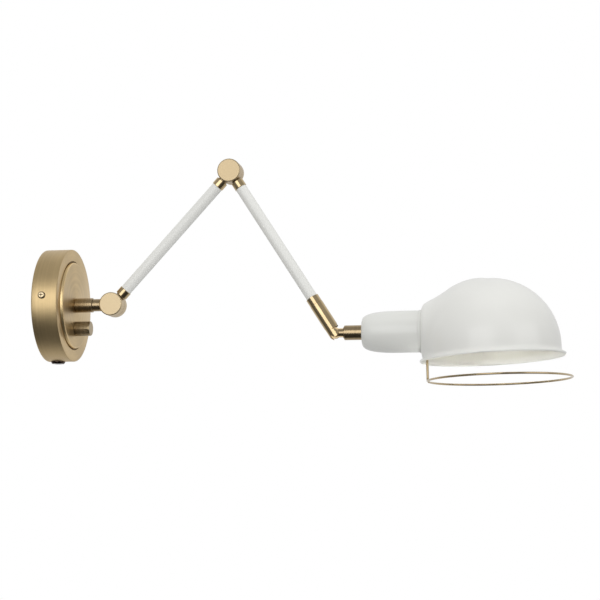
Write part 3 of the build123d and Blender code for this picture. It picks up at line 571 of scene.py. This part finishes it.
@dataclass(frozen=True)
class PlatedSteel:
    """Zinc-plated steel with a faint crystal mottle."""

    name: str
    colour: Colour = (0.62, 0.63, 0.64)
    roughness: float = 0.34
    tones: Tones = (0.82, 1.06)
    crystal_scale: float = 420.0
    cloud_scale: float = 90.0
    cloud_height: float = 0.00005

    def material(self) -> bpy.types.Material:
        """Makes the material.

        Returns:
            The Blender material.
        """
        shader = Shader(self.name)
        point = shader.place()
        crystals = shader.node(
            "ShaderNodeTexVoronoi", {}, {"Vector": point, "Scale": self.crystal_scale}, "Color"
        )
        grey = shader.node("ShaderNodeRGBToBW", {}, {0: crystals})
        cloud = shader.noise(point, self.cloud_scale, detail=3.0)
        tone = weighed((grey, 0.5), (cloud, 0.5)).between(*SOFT_CONTRAST)
        shader.drive("Base Color", shader.tinted(tone, self.colour, self.tones))
        shader.drive("Roughness", around(self.roughness, (tone, 0.12)))
        shader.bump(cloud, strength=0.2, height=self.cloud_height)
        shader.set(Metallic=1.0)
        return shader.material


@dataclass(frozen=True)
class Moulded:
    """A moulded or fired piece that isn't metal, with a fine skin and a slight mottle."""

    name: str
    colour: Colour
    roughness: float = 0.5
    gloss: float = 0.0
    tones: Tones = (0.9, 1.06)
    cloud_scale: float = 45.0
    skin_scale: float = 900.0
    skin_height: float = 0.00004

    def material(self) -> bpy.types.Material:
        """Makes the material.

        Returns:
            The Blender material.
        """
        shader = Shader(self.name)
        point = shader.place()
        cloud = shader.noise(point, self.cloud_scale, detail=3.0)
        skin = shader.noise(point, self.skin_scale, detail=2.0)
        tone = cloud.between(*CONTRAST)
        shader.drive("Base Color", shader.tinted(tone, self.colour, self.tones))
        shader.drive("Roughness", around(self.roughness, (skin, 0.12)))
        shader.bump(skin, strength=0.3, height=self.skin_height)
        shader.set(Coat_Weight=self.gloss, Coat_Roughness=0.1)
        return shader.material


# ---------------------------------------------------------------- pieces that keep their solids


@dataclass
class DressedNodes:
    """Nodes of the frame that keep their shape and get one finish."""

    finish: Finish
    nodes: tuple[str, ...]

    def dress(self, frame: dict[str, Any]) -> None:
        """Gives the finish to every node.
        """
        material = self.finish.material()
        for name in self.nodes:
            piece = frame["nodes"][name]
            piece.data.materials.clear()
            piece.data.materials.append(material)
            for polygon in piece.data.polygons:
                polygon.material_index = 0
            LOG.info("dressed %s with %s", name, material.name)


# ---------------------------------------------------------------- pieces that are made anew


def closed_loops(name: str, loops: Sequence[np.ndarray]) -> bpy.types.Object:
    """Joins closed rings of points into one closed skin.

    Args:
        name: The piece's name.
        loops: Rings with the same number of points; the last one joins the first again.

    Returns:
        The object, with smooth faces.
    """
    count = len(loops[0])
    faces = []
    for row in range(len(loops)):
        here, after = row * count, (row + 1) % len(loops) * count
        for column in range(count):
            following = (column + 1) % count
            faces.append((here + column, here + following, after + following, after + column))
    mesh = bpy.data.meshes.new(name)
    mesh.from_pydata(np.concatenate(loops).tolist(), [], faces)
    mesh.update()
    form = bmesh.new()
    form.from_mesh(mesh)
    bmesh.ops.recalc_face_normals(form, faces=form.faces)
    form.to_mesh(mesh)
    form.free()
    mesh.shade_smooth()
    piece = bpy.data.objects.new(name, mesh)
    bpy.context.scene.collection.objects.link(piece)
    return piece


def round_turn(segments: int) -> np.ndarray:
    """Angles that share out one full turn."""
    return np.linspace(0.0, FULL_TURN, segments, endpoint=False)


def smooth_radius(stations: Profile, along: np.ndarray) -> np.ndarray:
    """A smooth curve through a few stations, read at many places.

    Args:
        stations: Places along the axis and the radii there.
        along: The places that are wanted; beyond the ends the curve keeps its end value.

    Returns:
        The radii.
    """
    places, radii = np.array(stations).T
    slopes = np.gradient(radii, places)
    index = np.clip(np.searchsorted(places, along) - 1, 0, len(places) - 2)
    length = places[index + 1] - places[index]
    share = np.clip((along - places[index]) / length, 0.0, 1.0)
    return (
        radii[index] * (1 + 2 * share) * (1 - share) ** 2
        + radii[index + 1] * share**2 * (3 - 2 * share)
        + slopes[index] * length * share * (1 - share) ** 2
        - slopes[index + 1] * length * share**2 * (1 - share)
    )


def rounded(
    profile: Profile, radius: float, steps: int, most: float = 0.45
) -> list[tuple[float, float]]:
    """Rounds the corners of a closed profile.

    Args:
        profile: The corners in order, none of them twice.
        radius: The distance from a corner at which the rounding starts.
        steps: How many pieces each rounding has.
        most: The share of a side that a rounding takes up at most.

    Returns:
        The points of the rounded profile.
    """
    result = []
    count = len(profile)
    for index in range(count):
        before, corner, after = (Vector(profile[(index + k) % count]) for k in (-1, 0, 1))
        start, end = (
            corner + side * min(most, radius / side.length)
            for side in (before - corner, after - corner)
        )
        for step in range(steps + 1):
            share = step / steps
            point = start * (1 - share) ** 2 + corner * 2 * share * (1 - share) + end * share**2
            result.append((point.x, point.y))
    return result


@dataclass
class ArmTube:
    """One white arm: a straight enamelled tube with softly broken ends, in millimetres.

    Its start and end are measured from the hinge that it hangs on.
    """

    node: str
    body: str
    hinge: tuple[float, float]
    axis: Axis
    start: float
    end: float
    radius: float = 6.0
    bore: float = 5.22
    break_edge: float = 0.15
    segments: int = 96
    row_length: float = 3.0

    def build(self, finish: bpy.types.Material) -> None:
        """Builds the tube and lets it stand for its solid.

        Args:
            finish: The enamel.
        """
        along = np.array(self.axis.value)
        across = np.array((-along[2], 0.0, along[0]))
        foot = np.array((self.hinge[0], 0.0, self.hinge[1]))
        turn = round_turn(self.segments)[:, None]
        spoke = np.cos(turn) * across + np.sin(turn) * np.array(BEHIND)
        rows = int((self.end - self.start) / self.row_length)
        inside, outside = self.start + self.break_edge, self.end - self.break_edge
        outline = [(self.start, self.radius - self.break_edge)]
        outline += [(x, self.radius) for x in np.linspace(inside, outside, rows)]
        outline += [(self.end, self.radius - self.break_edge), (self.end, self.bore)]
        outline += [(x, self.bore) for x in np.linspace(outside, inside, rows)]
        outline.append((self.start, self.bore))
        loops = [(foot + along * x + spoke * radius) * MM for x, radius in outline]
        tube = closed_loops(f"{self.node}_skin", loops)
        tube.data.materials.append(finish)
        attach(tube, self.body)
        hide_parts(self.node)
        LOG.info("built %s", tube.name)


@dataclass
class CanopySkin:
    """The spun canopy, in metres.

    It is turned about its own upright axis, so that its brushing runs in circles, and is
    then stood against the wall.
    """

    colour: Colour = (0.64, 0.48, 0.255)
    radius: float = 0.060
    depth: float = 0.0276
    wall: float = 0.0016
    step_radius: float = 0.0464
    step_height: float = 0.0024
    step_lean: float = 0.0008
    groove: float = 0.0012
    groove_floor: float = 0.7
    groove_depth: float = 0.0014
    pinhole: float = 0.0003
    corner: float = 0.0009
    corner_steps: int = 4
    longest_run: float = 0.004
    segments: int = 256

    def build(self) -> None:
        """Builds the pan and lets it stand for its solid."""
        face = self.depth + self.step_height
        groove_face = self.depth - self.groove_depth
        inner_step = self.step_radius - self.wall
        inner_radius = self.radius - self.wall
        outline = (
            (0.0, self.radius),
            (self.depth, self.radius),
            (self.depth, self.step_radius + self.groove),
            (groove_face, self.step_radius + self.groove * self.groove_floor),
            (groove_face, self.step_radius),
            (face, self.step_radius - self.step_lean),
            (face, self.pinhole),
            (face - self.wall, self.pinhole),
            (face - self.wall, inner_step),
            (groove_face - self.wall, inner_step),
            (groove_face - self.wall, inner_radius),
            (0.0, inner_radius),
        )
        turn = round_turn(self.segments)
        loops = [
            np.stack([radius * np.cos(turn), radius * np.sin(turn), np.full(self.segments, x)], 1)
            for x, radius in self._softened(outline)
        ]
        pan = closed_loops("canopy_pan", loops)
        pan.rotation_euler = (0.0, math.pi / 2, 0.0)
        finish = SpunBrass(
            "canopy_brass", self.colour, self.step_radius, self.step_radius + self.groove
        )
        pan.data.materials.append(finish.material())
        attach(pan, "wall_base")
        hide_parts("canopy", "canopy_inlet_panel")
        LOG.info("built %s", pan.name)

    def _softened(self, outline: Profile) -> list[tuple[float, float]]:
        """Rounds the outline's corners, and adds points on its long runs.

        Args:
            outline: The pan's section, as heights and radii.

        Returns:
            The section's points.
        """
        points = rounded(outline, self.corner, self.corner_steps)
        result = []
        for index, point in enumerate(points):
            start, after = Vector(point), Vector(points[(index + 1) % len(points)])
            pieces = max(1, int((after - start).length / self.longest_run))
            result += [tuple(start.lerp(after, step / pieces)) for step in range(pieces)]
        return result


@dataclass
class ShadeShell:
    """The spun shade: a dome on a tilted rim and a side neck, flowing into each other.

    Sizes are in millimetres. The outside is found as the place where a soft union of the
    dome and the neck ends, and the inside lies one wall behind it. The neck's side is given
    by stations: places in front of its flat face, and radii.
    """

    neck_face: float = 401.8
    neck_height: float = -34.58
    rim_offset: float = 71.7
    rim_drop: float = 28.9
    rim_tilt: float = 2.8
    dome_radius: float = 70.2
    dome_height: float = 82.1
    skirt: float = 6.0
    skirt_limit: float = 1.2
    flare_radius: float = 74.0
    bead: float = 1.0
    bead_inset: float = 0.45
    bead_rise: float = 0.9
    bead_turn: tuple[float, float] = (60.0, -200.0)
    bead_rings: int = 14
    wall: float = 1.2
    hole: float = 17.3
    blend: float = 5.0
    corner: float = 4.0
    side: tuple[tuple[float, float], ...] = (
        (-6.0, 23.4),
        (0.0, 27.2),
        (4.4, 29.7),
        (14.9, 35.2),
        (23.2, 40.2),
        (31.5, 45.6),
        (43.9, 50.7),
        (56.3, 52.7),
        (66.0, 50.3),
        (78.0, 36.0),
        (96.0, -20.0),
    )
    side_slant: float = 0.88
    search: tuple[float, float] = (20.0, 110.0)
    halvings: int = 34
    feeler: float = 0.05
    crowding: float = 0.35
    rings: int = 130
    segments: int = 240
    # The inner skin's colour, paler than the outside as painted light inside the shade.
    lining: Colour = (0.91, 0.90, 0.83)
    lining_roughness: float = 0.40

    def __post_init__(self) -> None:
        """Works out the rim's place and directions."""
        tilt = math.radians(self.rim_tilt)
        self.along = np.array((math.cos(tilt), 0.0, math.sin(tilt)))
        self.up = np.array((-math.sin(tilt), 0.0, math.cos(tilt)))
        self.rim = np.array(
            (self.neck_face + self.rim_offset, 0.0, self.neck_height - self.rim_drop)
        )
        self.middle = self.dome_height - self.dome_radius
        self.source = self.rim + self.up * self.middle

    def _dome(self, point: np.ndarray) -> np.ndarray:
        """How far points are outside the dome and its skirt.

        Args:
            point: One row for each point.

        Returns:
            The distances, less than 0 inside.
        """
        from_rim = point - self.rim
        height = from_rim @ self.up
        out = np.linalg.norm(from_rim - height[:, None] * self.up, axis=1)
        cap = np.hypot(out, height - self.middle) - self.dome_radius
        low = np.clip((self.skirt - height) / self.skirt, 0.0, self.skirt_limit)
        flare = self.dome_radius + (self.flare_radius - self.dome_radius) * low**2
        return np.where(height > self.middle, cap, out - flare)

    def _neck(self, point: np.ndarray) -> np.ndarray:
        """How far points are outside the neck and in front of its flat face.

        Args:
            point: One row for each point.

        Returns:
            The distances, less than 0 inside.
        """
        along = point[:, 0] - self.neck_face
        out = np.hypot(point[:, 1], point[:, 2] - self.neck_height)
        side = (out - smooth_radius(self.side, along)) * self.side_slant
        return -self._softest(-side, along, self.corner)

    @staticmethod
    def _softest(first: np.ndarray, second: np.ndarray, blend: float) -> np.ndarray:
        """The smaller of two distances, with a soft change between them."""
        share = np.clip(0.5 + 0.5 * (second - first) / blend, 0.0, 1.0)
        return second * (1 - share) + first * share - blend * share * (1 - share)

    def _outside(self, point: np.ndarray) -> np.ndarray:
        """How far points are outside the whole shade."""
        return self._softest(self._dome(point), self._neck(point), self.blend)

    def _ray(self, direction: np.ndarray) -> np.ndarray:
        """Where rays from inside the dome meet its surface.

        Args:
            direction: One row for each ray.

        Returns:
            The points, in millimetres.
        """
        near, far = (np.full(len(direction), limit) for limit in self.search)
        for _ in range(self.halvings):
            half = (near + far) / 2
            inside = self._outside(self.source + direction * half[:, None]) < 0
            near = np.where(inside, half, near)
            far = np.where(inside, far, half)
        return self.source + direction * near[:, None]

    def _normal(self, point: np.ndarray) -> np.ndarray:
        """The outward direction at points of the surface.

        Args:
            point: One row for each point.

        Returns:
            One row of length 1 for each.
        """
        steps = self.feeler * np.eye(3)
        slope = np.stack(
            [self._outside(point + step) - self._outside(point - step) for step in steps], 1
        )
        return slope / np.linalg.norm(slope, axis=1)[:, None]

    def _flat(self, point: np.ndarray) -> np.ndarray:
        """Directions to points, drawn on a plane as seen from straight below.

        Args:
            point: One row for each point.

        Returns:
            Two coordinates for each.
        """
        ray = point - self.source
        ray = ray / np.linalg.norm(ray, axis=1)[:, None]
        height = ray @ self.up
        return np.stack([ray @ self.along, ray[:, 1]], 1) / (1 + height)[:, None]

    def _unflat(self, drawn: np.ndarray) -> np.ndarray:
        """Directions again, from the plane.

        Args:
            drawn: Two coordinates for each direction.

        Returns:
            One row of length 1 for each.
        """
        square = (drawn**2).sum(1)
        height = (1 - square) / (1 + square)
        across = drawn * (1 + height)[:, None]
        return (
            across[:, :1] * self.along
            + across[:, 1:] * np.array(BEHIND)
            + height[:, None] * self.up
        )

    def _ends(self) -> tuple[np.ndarray, np.ndarray]:
        """Draws the hole in the neck's face and the rim on the plane.

        Returns:
            The points of the hole and of the rim, which lie opposite one another.
        """
        turn = round_turn(self.segments)
        hole = np.stack(
            [
                np.full(self.segments, self.neck_face),
                self.hole * np.sin(turn),
                self.neck_height - self.hole * np.cos(turn),
            ],
            1,
        )
        hole_drawn = self._flat(hole)
        heart = hole_drawn.mean(0)
        rim_point = self.rim + self.along * self.flare_radius
        reach = np.linalg.norm(self._flat(rim_point[None])[0])
        heading = hole_drawn - heart
        heading = heading / np.linalg.norm(heading, axis=1)[:, None]
        lean = heading @ heart
        ahead = -lean + np.sqrt(lean**2 - heart @ heart + reach**2)
        return hole_drawn, heart + heading * ahead[:, None]

    def _skins(self) -> tuple[list[np.ndarray], list[np.ndarray]]:
        """Spins the two skins from the hole to the rim, with rings closer at the hole.

        Returns:
            The rings of the outer skin and those of the inner one.
        """
        hole_drawn, rim_drawn = self._ends()
        outer, inner = [], []
        for row in range(self.rings + 1):
            share = row / self.rings
            share = share * (self.crowding + (1 - self.crowding) * share)
            drawn = hole_drawn * (1 - share) + rim_drawn * share
            points = self._ray(self._unflat(drawn))
            outer.append(points)
            inner.append(points - self._normal(points) * self.wall)
        return outer, inner

    def build(self) -> None:
        """Builds the shell with its rolled rim, white outside and paler inside, where the paler
        colour is painted light.
        """
        outer, inner = self._skins()
        bead = self._bead(outer[-1])
        loops = [ring * MM for ring in (*outer, *bead, *inner[::-1])]
        shell = closed_loops("shade_shell", loops)
        self._paint(shell, len(outer) + len(bead) // 2)
        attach(shell, "head")
        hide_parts("shade")
        LOG.info("built %s", shell.name)

    def _bead(self, outer: np.ndarray) -> list[np.ndarray]:
        """The rolled edge between the outer and the inner skin.

        Args:
            outer: The last ring of the outer skin.

        Returns:
            The edge's rings, from the outside in.
        """
        from_rim = outer - self.rim
        height = from_rim @ self.up
        out = from_rim - height[:, None] * self.up
        out = out / np.linalg.norm(out, axis=1)[:, None]
        centre = self.rim + out * (self.flare_radius - self.bead_inset) + self.up * self.bead_rise
        return [
            centre + self.bead * (math.cos(angle) * out + math.sin(angle) * self.up)
            for angle in np.radians(np.linspace(*self.bead_turn, self.bead_rings))
        ]

    def _paint(self, shell: bpy.types.Object, turn_row: int) -> None:
        """Gives the outer and the inner skin their enamels.

        Args:
            shell: The whole shade.
            turn_row: The ring at which the inner skin starts.
        """
        # The lining's paler colour is painted light inside the shade.
        lining = Enamel("shade_lining", self.lining, roughness=self.lining_roughness)
        for enamel in (Enamel("shade_enamel"), lining):
            shell.data.materials.append(enamel.material())
        limit = turn_row * self.segments
        for polygon in shell.data.polygons:
            if min(polygon.vertices) >= limit:
                polygon.material_index = 1


# ---------------------------------------------------------------- studio


@dataclass(frozen=True)
class StudioLamp:
    """One soft square lamp, in metres, watts and degrees."""

    name: str
    place: Point
    size: float
    power: float
    spread: float = 180.0
    aim: Point = OBJECT_MIDDLE
    mirrored: bool = True

    def hang(self) -> None:
        """Makes the lamp and turns it to what it lights."""
        data = bpy.data.lights.new(self.name, "AREA")
        data.shape = "SQUARE"
        data.size = self.size
        data.energy = self.power
        data.spread = math.radians(self.spread)
        lamp = bpy.data.objects.new(self.name, data)
        lamp.location = self.place
        facing = Vector(self.place) - Vector(self.aim)
        lamp.rotation_euler = facing.to_track_quat("Z", "Y").to_euler()
        lamp.visible_glossy = self.mirrored
        bpy.context.scene.collection.objects.link(lamp)


LAMPS: tuple[StudioLamp, ...] = (
    StudioLamp("key", (-0.2, -2.6, 0.35), size=2.0, power=20.0),
    StudioLamp("side", (2.3, -0.9, 0.25), size=1.6, power=9.0),
    StudioLamp("top", (0.3, -0.6, 2.0), size=1.4, power=9.0, mirrored=False),
    StudioLamp(
        "mouth",
        (0.474, 0.02, -0.85),
        size=0.12,
        power=0.042,
        spread=10.0,
        aim=(0.474, 0.0, -0.05),
        mirrored=False,
    ),
    StudioLamp(
        "lining",
        (0.474, -0.486, -0.80),
        size=0.03,
        power=0.005,
        spread=7.0,
        aim=(0.474, 0.03, -0.0635),
        mirrored=False,
    ),
)


@dataclass
class Studio:
    """The floor, the lamps, the world's light and the camera, in metres and degrees."""

    target: Point = OBJECT_MIDDLE
    distance: float = 1.741
    azimuth: float = 10.1
    elevation: float = -7.07
    lens: float = 99.84
    sensor: float = 36.0
    clip_start: float = 0.05
    floor_drop: float = -1.1
    floor_radius: float = 1.0
    floor_segments: int = 96
    floor_tones: Tones = (0.80, 0.84)
    floor_scale: float = 1.5
    floor_roughness: float = 0.8
    sky_light: float = 0.42
    ground_light: float = 0.05
    horizon: tuple[float, float] = (-0.5, 0.2)
    even_light: float = 0.24
    even_colour: Colour = (0.8, 0.8, 0.8)
    wall_share: float = 0.7
    wall_edge: tuple[float, float] = (-0.1, 0.5)

    def build(self) -> None:
        """Makes everything round the lamp."""
        self._camera()
        for lamp in LAMPS:
            lamp.hang()
        self._world()
        self._floor()

    def _camera(self) -> None:
        """Stands the camera where the photograph was taken from."""
        azimuth = math.radians(self.azimuth)
        elevation = math.radians(self.elevation)
        back = Vector(
            (
                math.sin(azimuth) * math.cos(elevation),
                -math.cos(azimuth) * math.cos(elevation),
                math.sin(elevation),
            )
        )
        data = bpy.data.cameras.new("camera")
        data.lens = self.lens
        data.sensor_width = self.sensor
        data.clip_start = self.clip_start
        camera = bpy.data.objects.new("camera", data)
        camera.location = Vector(self.target) + back * self.distance
        camera.rotation_euler = back.to_track_quat("Z", "Y").to_euler()
        bpy.context.scene.collection.objects.link(camera)
        bpy.context.scene.camera = camera

    def _world(self) -> None:
        """Lights the room evenly, paler above than below, with a white background.

        The camera and what passes through glass see the white. Shiny pieces see part of
        it behind the object, and the room elsewhere, without the even light.
        """
        world = bpy.data.worlds.new("studio")
        bpy.context.scene.world = world
        tree = NodeTree(world)
        camera, glossy, through = (
            tree.node("ShaderNodeLightPath", {}, {}, f"Is {kind} Ray")
            for kind in ("Camera", "Glossy", "Transmission")
        )
        sky, ground, white, even = (
            tree.node("ShaderNodeBackground", {}, {"Color": colour, "Strength": strength})
            for colour, strength in (
                (WHITE, self.sky_light),
                (WHITE, self.ground_light),
                (WHITE, 1.0),
                (self.even_colour, (1 - glossy) * self.even_light),
            )
        )
        direction = tree.node("ShaderNodeTexCoord", {}, {}, "Generated")
        height = tree.along(direction, UP).ramp(*self.horizon)
        wall = tree.along(direction, BEHIND).ramp(*self.wall_edge, self.wall_share)
        seen = camera.or_more((glossy * wall).or_more(through))
        room = tree.node("ShaderNodeMixShader", {}, {0: height, 1: ground, 2: sky})
        lit = tree.node("ShaderNodeAddShader", {}, {0: room, 1: even})
        choice = tree.node("ShaderNodeMixShader", {}, {0: seen, 1: lit, 2: white})
        tree.feed(tree.graph.nodes["World Output"].inputs["Surface"], choice)

    def _floor(self) -> None:
        """Lays a plain pale round floor well below the lamp."""
        mesh = bpy.data.meshes.new("floor")
        form = bmesh.new()
        bmesh.ops.create_circle(
            form, cap_ends=True, segments=self.floor_segments, radius=self.floor_radius
        )
        form.to_mesh(mesh)
        form.free()
        floor = bpy.data.objects.new("floor", mesh)
        floor.location = (self.target[0], 0.0, self.floor_drop)
        shader = Shader("floor_paint")
        tone = shader.noise(shader.place(), self.floor_scale, detail=2.0)
        shader.drive("Base Color", shader.tinted(tone, WHITE, self.floor_tones))
        shader.set(Roughness=self.floor_roughness)
        mesh.materials.append(shader.material)
        floor.visible_glossy = False
        bpy.context.scene.collection.objects.link(floor)


# ---------------------------------------------------------------- the lamp


FINISHED_NODES: tuple[DressedNodes, ...] = (
    DressedNodes(
        TurnedBrass("turned_brass", (0.44, 0.335, 0.20), roughness=0.26),
        ("stem_boss", "switch_ring_nut", "shoulder_ferrule"),
    ),
    DressedNodes(
        TurnedBrass(
            "knob_brass", (0.42, 0.33, 0.20), roughness=0.30, middle=(0.0, 0.0, -0.025)
        ),
        ("knob",),
    ),
    DressedNodes(
        TurnedBrass(
            "head_brass", (0.45, 0.345, 0.205), roughness=0.24, middle=(0.32, 0.0, -0.0346)
        ),
        ("collar", "tongue"),
    ),
    DressedNodes(
        KnuckleBrass("elbow_brass", hinge=(0.1986, 0.0, 0.1399), face=(0.54, 0.425, 0.26)),
        ("elbow_near_half", "elbow_far_half"),
    ),
    DressedNodes(
        KnuckleBrass("shoulder_brass", hinge=(0.0709, 0.0, 0.0), face=(0.60, 0.48, 0.30)),
        ("shoulder_post", "lower_arm_root"),
    ),
    DressedNodes(
        PolishedBrass("lower_ferrule_brass", axis=Axis.LOWER_ARM),
        ("lower_root_ferrule", "lower_tip_ferrule"),
    ),
    DressedNodes(
        PolishedBrass("upper_ferrule_brass", axis=Axis.UPPER_ARM),
        ("upper_root_ferrule", "fork_ferrule", "fork", "pivot_pin"),
    ),
    DressedNodes(
        PolishedBrass("wire_brass", (0.54, 0.43, 0.27), roughness=0.14),
        ("wire_guard", "guard_hanger"),
    ),
    DressedNodes(ScrewBrass("screw_brass", top=0.0622), ("canopy_screws",)),
    DressedNodes(Enamel("cup_enamel", (0.77, 0.775, 0.74)), ("socket_cup",)),
    DressedNodes(
        PlatedSteel("plated_steel"),
        (
            "mounting_bracket",
            "stem_backing_plate",
            "stem_nut",
            "base_spring_washer",
            "base_lock_nut",
            "head_spring_washer",
            "head_lock_nut",
            "cup_washer",
            "switch_lock_washer",
            "shoulder_spring_washer",
            "elbow_spring_washer",
            "shoulder_hinge_screw",
            "elbow_hinge_screw",
            "shoulder_stop_pin",
            "elbow_stop_pin",
            "switch_shaft",
            "inlet_nut",
        ),
    ),
    DressedNodes(PlatedSteel("ground_screw_green", (0.08, 0.30, 0.13)), ("ground_screw",)),
    DressedNodes(
        PlatedSteel("dark_bronze", (0.06, 0.04, 0.03), roughness=0.12),
        ("inlet_bushing",),
    ),
    DressedNodes(Moulded("black_moulding", (0.03, 0.03, 0.03)), ("switch_body", "holder_cap")),
    DressedNodes(
        Moulded("lead_cover", (0.05, 0.05, 0.05), roughness=0.55),
        ("lower_lead", "upper_lead"),
    ),
    DressedNodes(
        Moulded("connector_moulding", (0.62, 0.20, 0.05), roughness=0.45),
        ("wire_connectors",),
    ),
    DressedNodes(
        Moulded("natural_nylon", (0.70, 0.68, 0.60)),
        ("shoulder_friction_washer", "elbow_friction_washer", "fork_washers", "shade_gasket"),
    ),
    DressedNodes(
        Moulded("porcelain", (0.80, 0.78, 0.72), roughness=0.25, gloss=0.8),
        ("holder_body", "holder_sleeve"),
    ),
    DressedNodes(
        PolishedBrass("shell_brass", (0.70, 0.60, 0.42)),
        ("screw_shell", "centre_contact"),
    ),
    DressedNodes(
        Moulded("cream_moulding", (0.74, 0.68, 0.55), roughness=0.45),
        ("shade_ring",),
    ),
)


ARM_ENAMEL = Enamel("arm_enamel", (0.85, 0.85, 0.815), roughness=0.45, coat=0.1)
ARMS: tuple[ArmTube, ...] = (
    ArmTube("lower_tube", "lower_arm", (70.9, 0.0), Axis.LOWER_ARM, start=14.22, end=175.18),
    ArmTube(
        "upper_tube", "upper_arm", (198.613, 139.863), Axis.UPPER_ARM, start=14.22, end=181.28
    ),
)


def main() -> None:
    """Builds the looks round the frame."""
    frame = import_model()
    for group in FINISHED_NODES:
        group.dress(frame)
    arm_enamel = ARM_ENAMEL.material()
    for arm in ARMS:
        arm.build(arm_enamel)
    CanopySkin().build()
    ShadeShell().build()
    Studio().build()
    bpy.context.scene.view_settings.view_transform = "Standard"


if __name__ == "__main__":
    main()
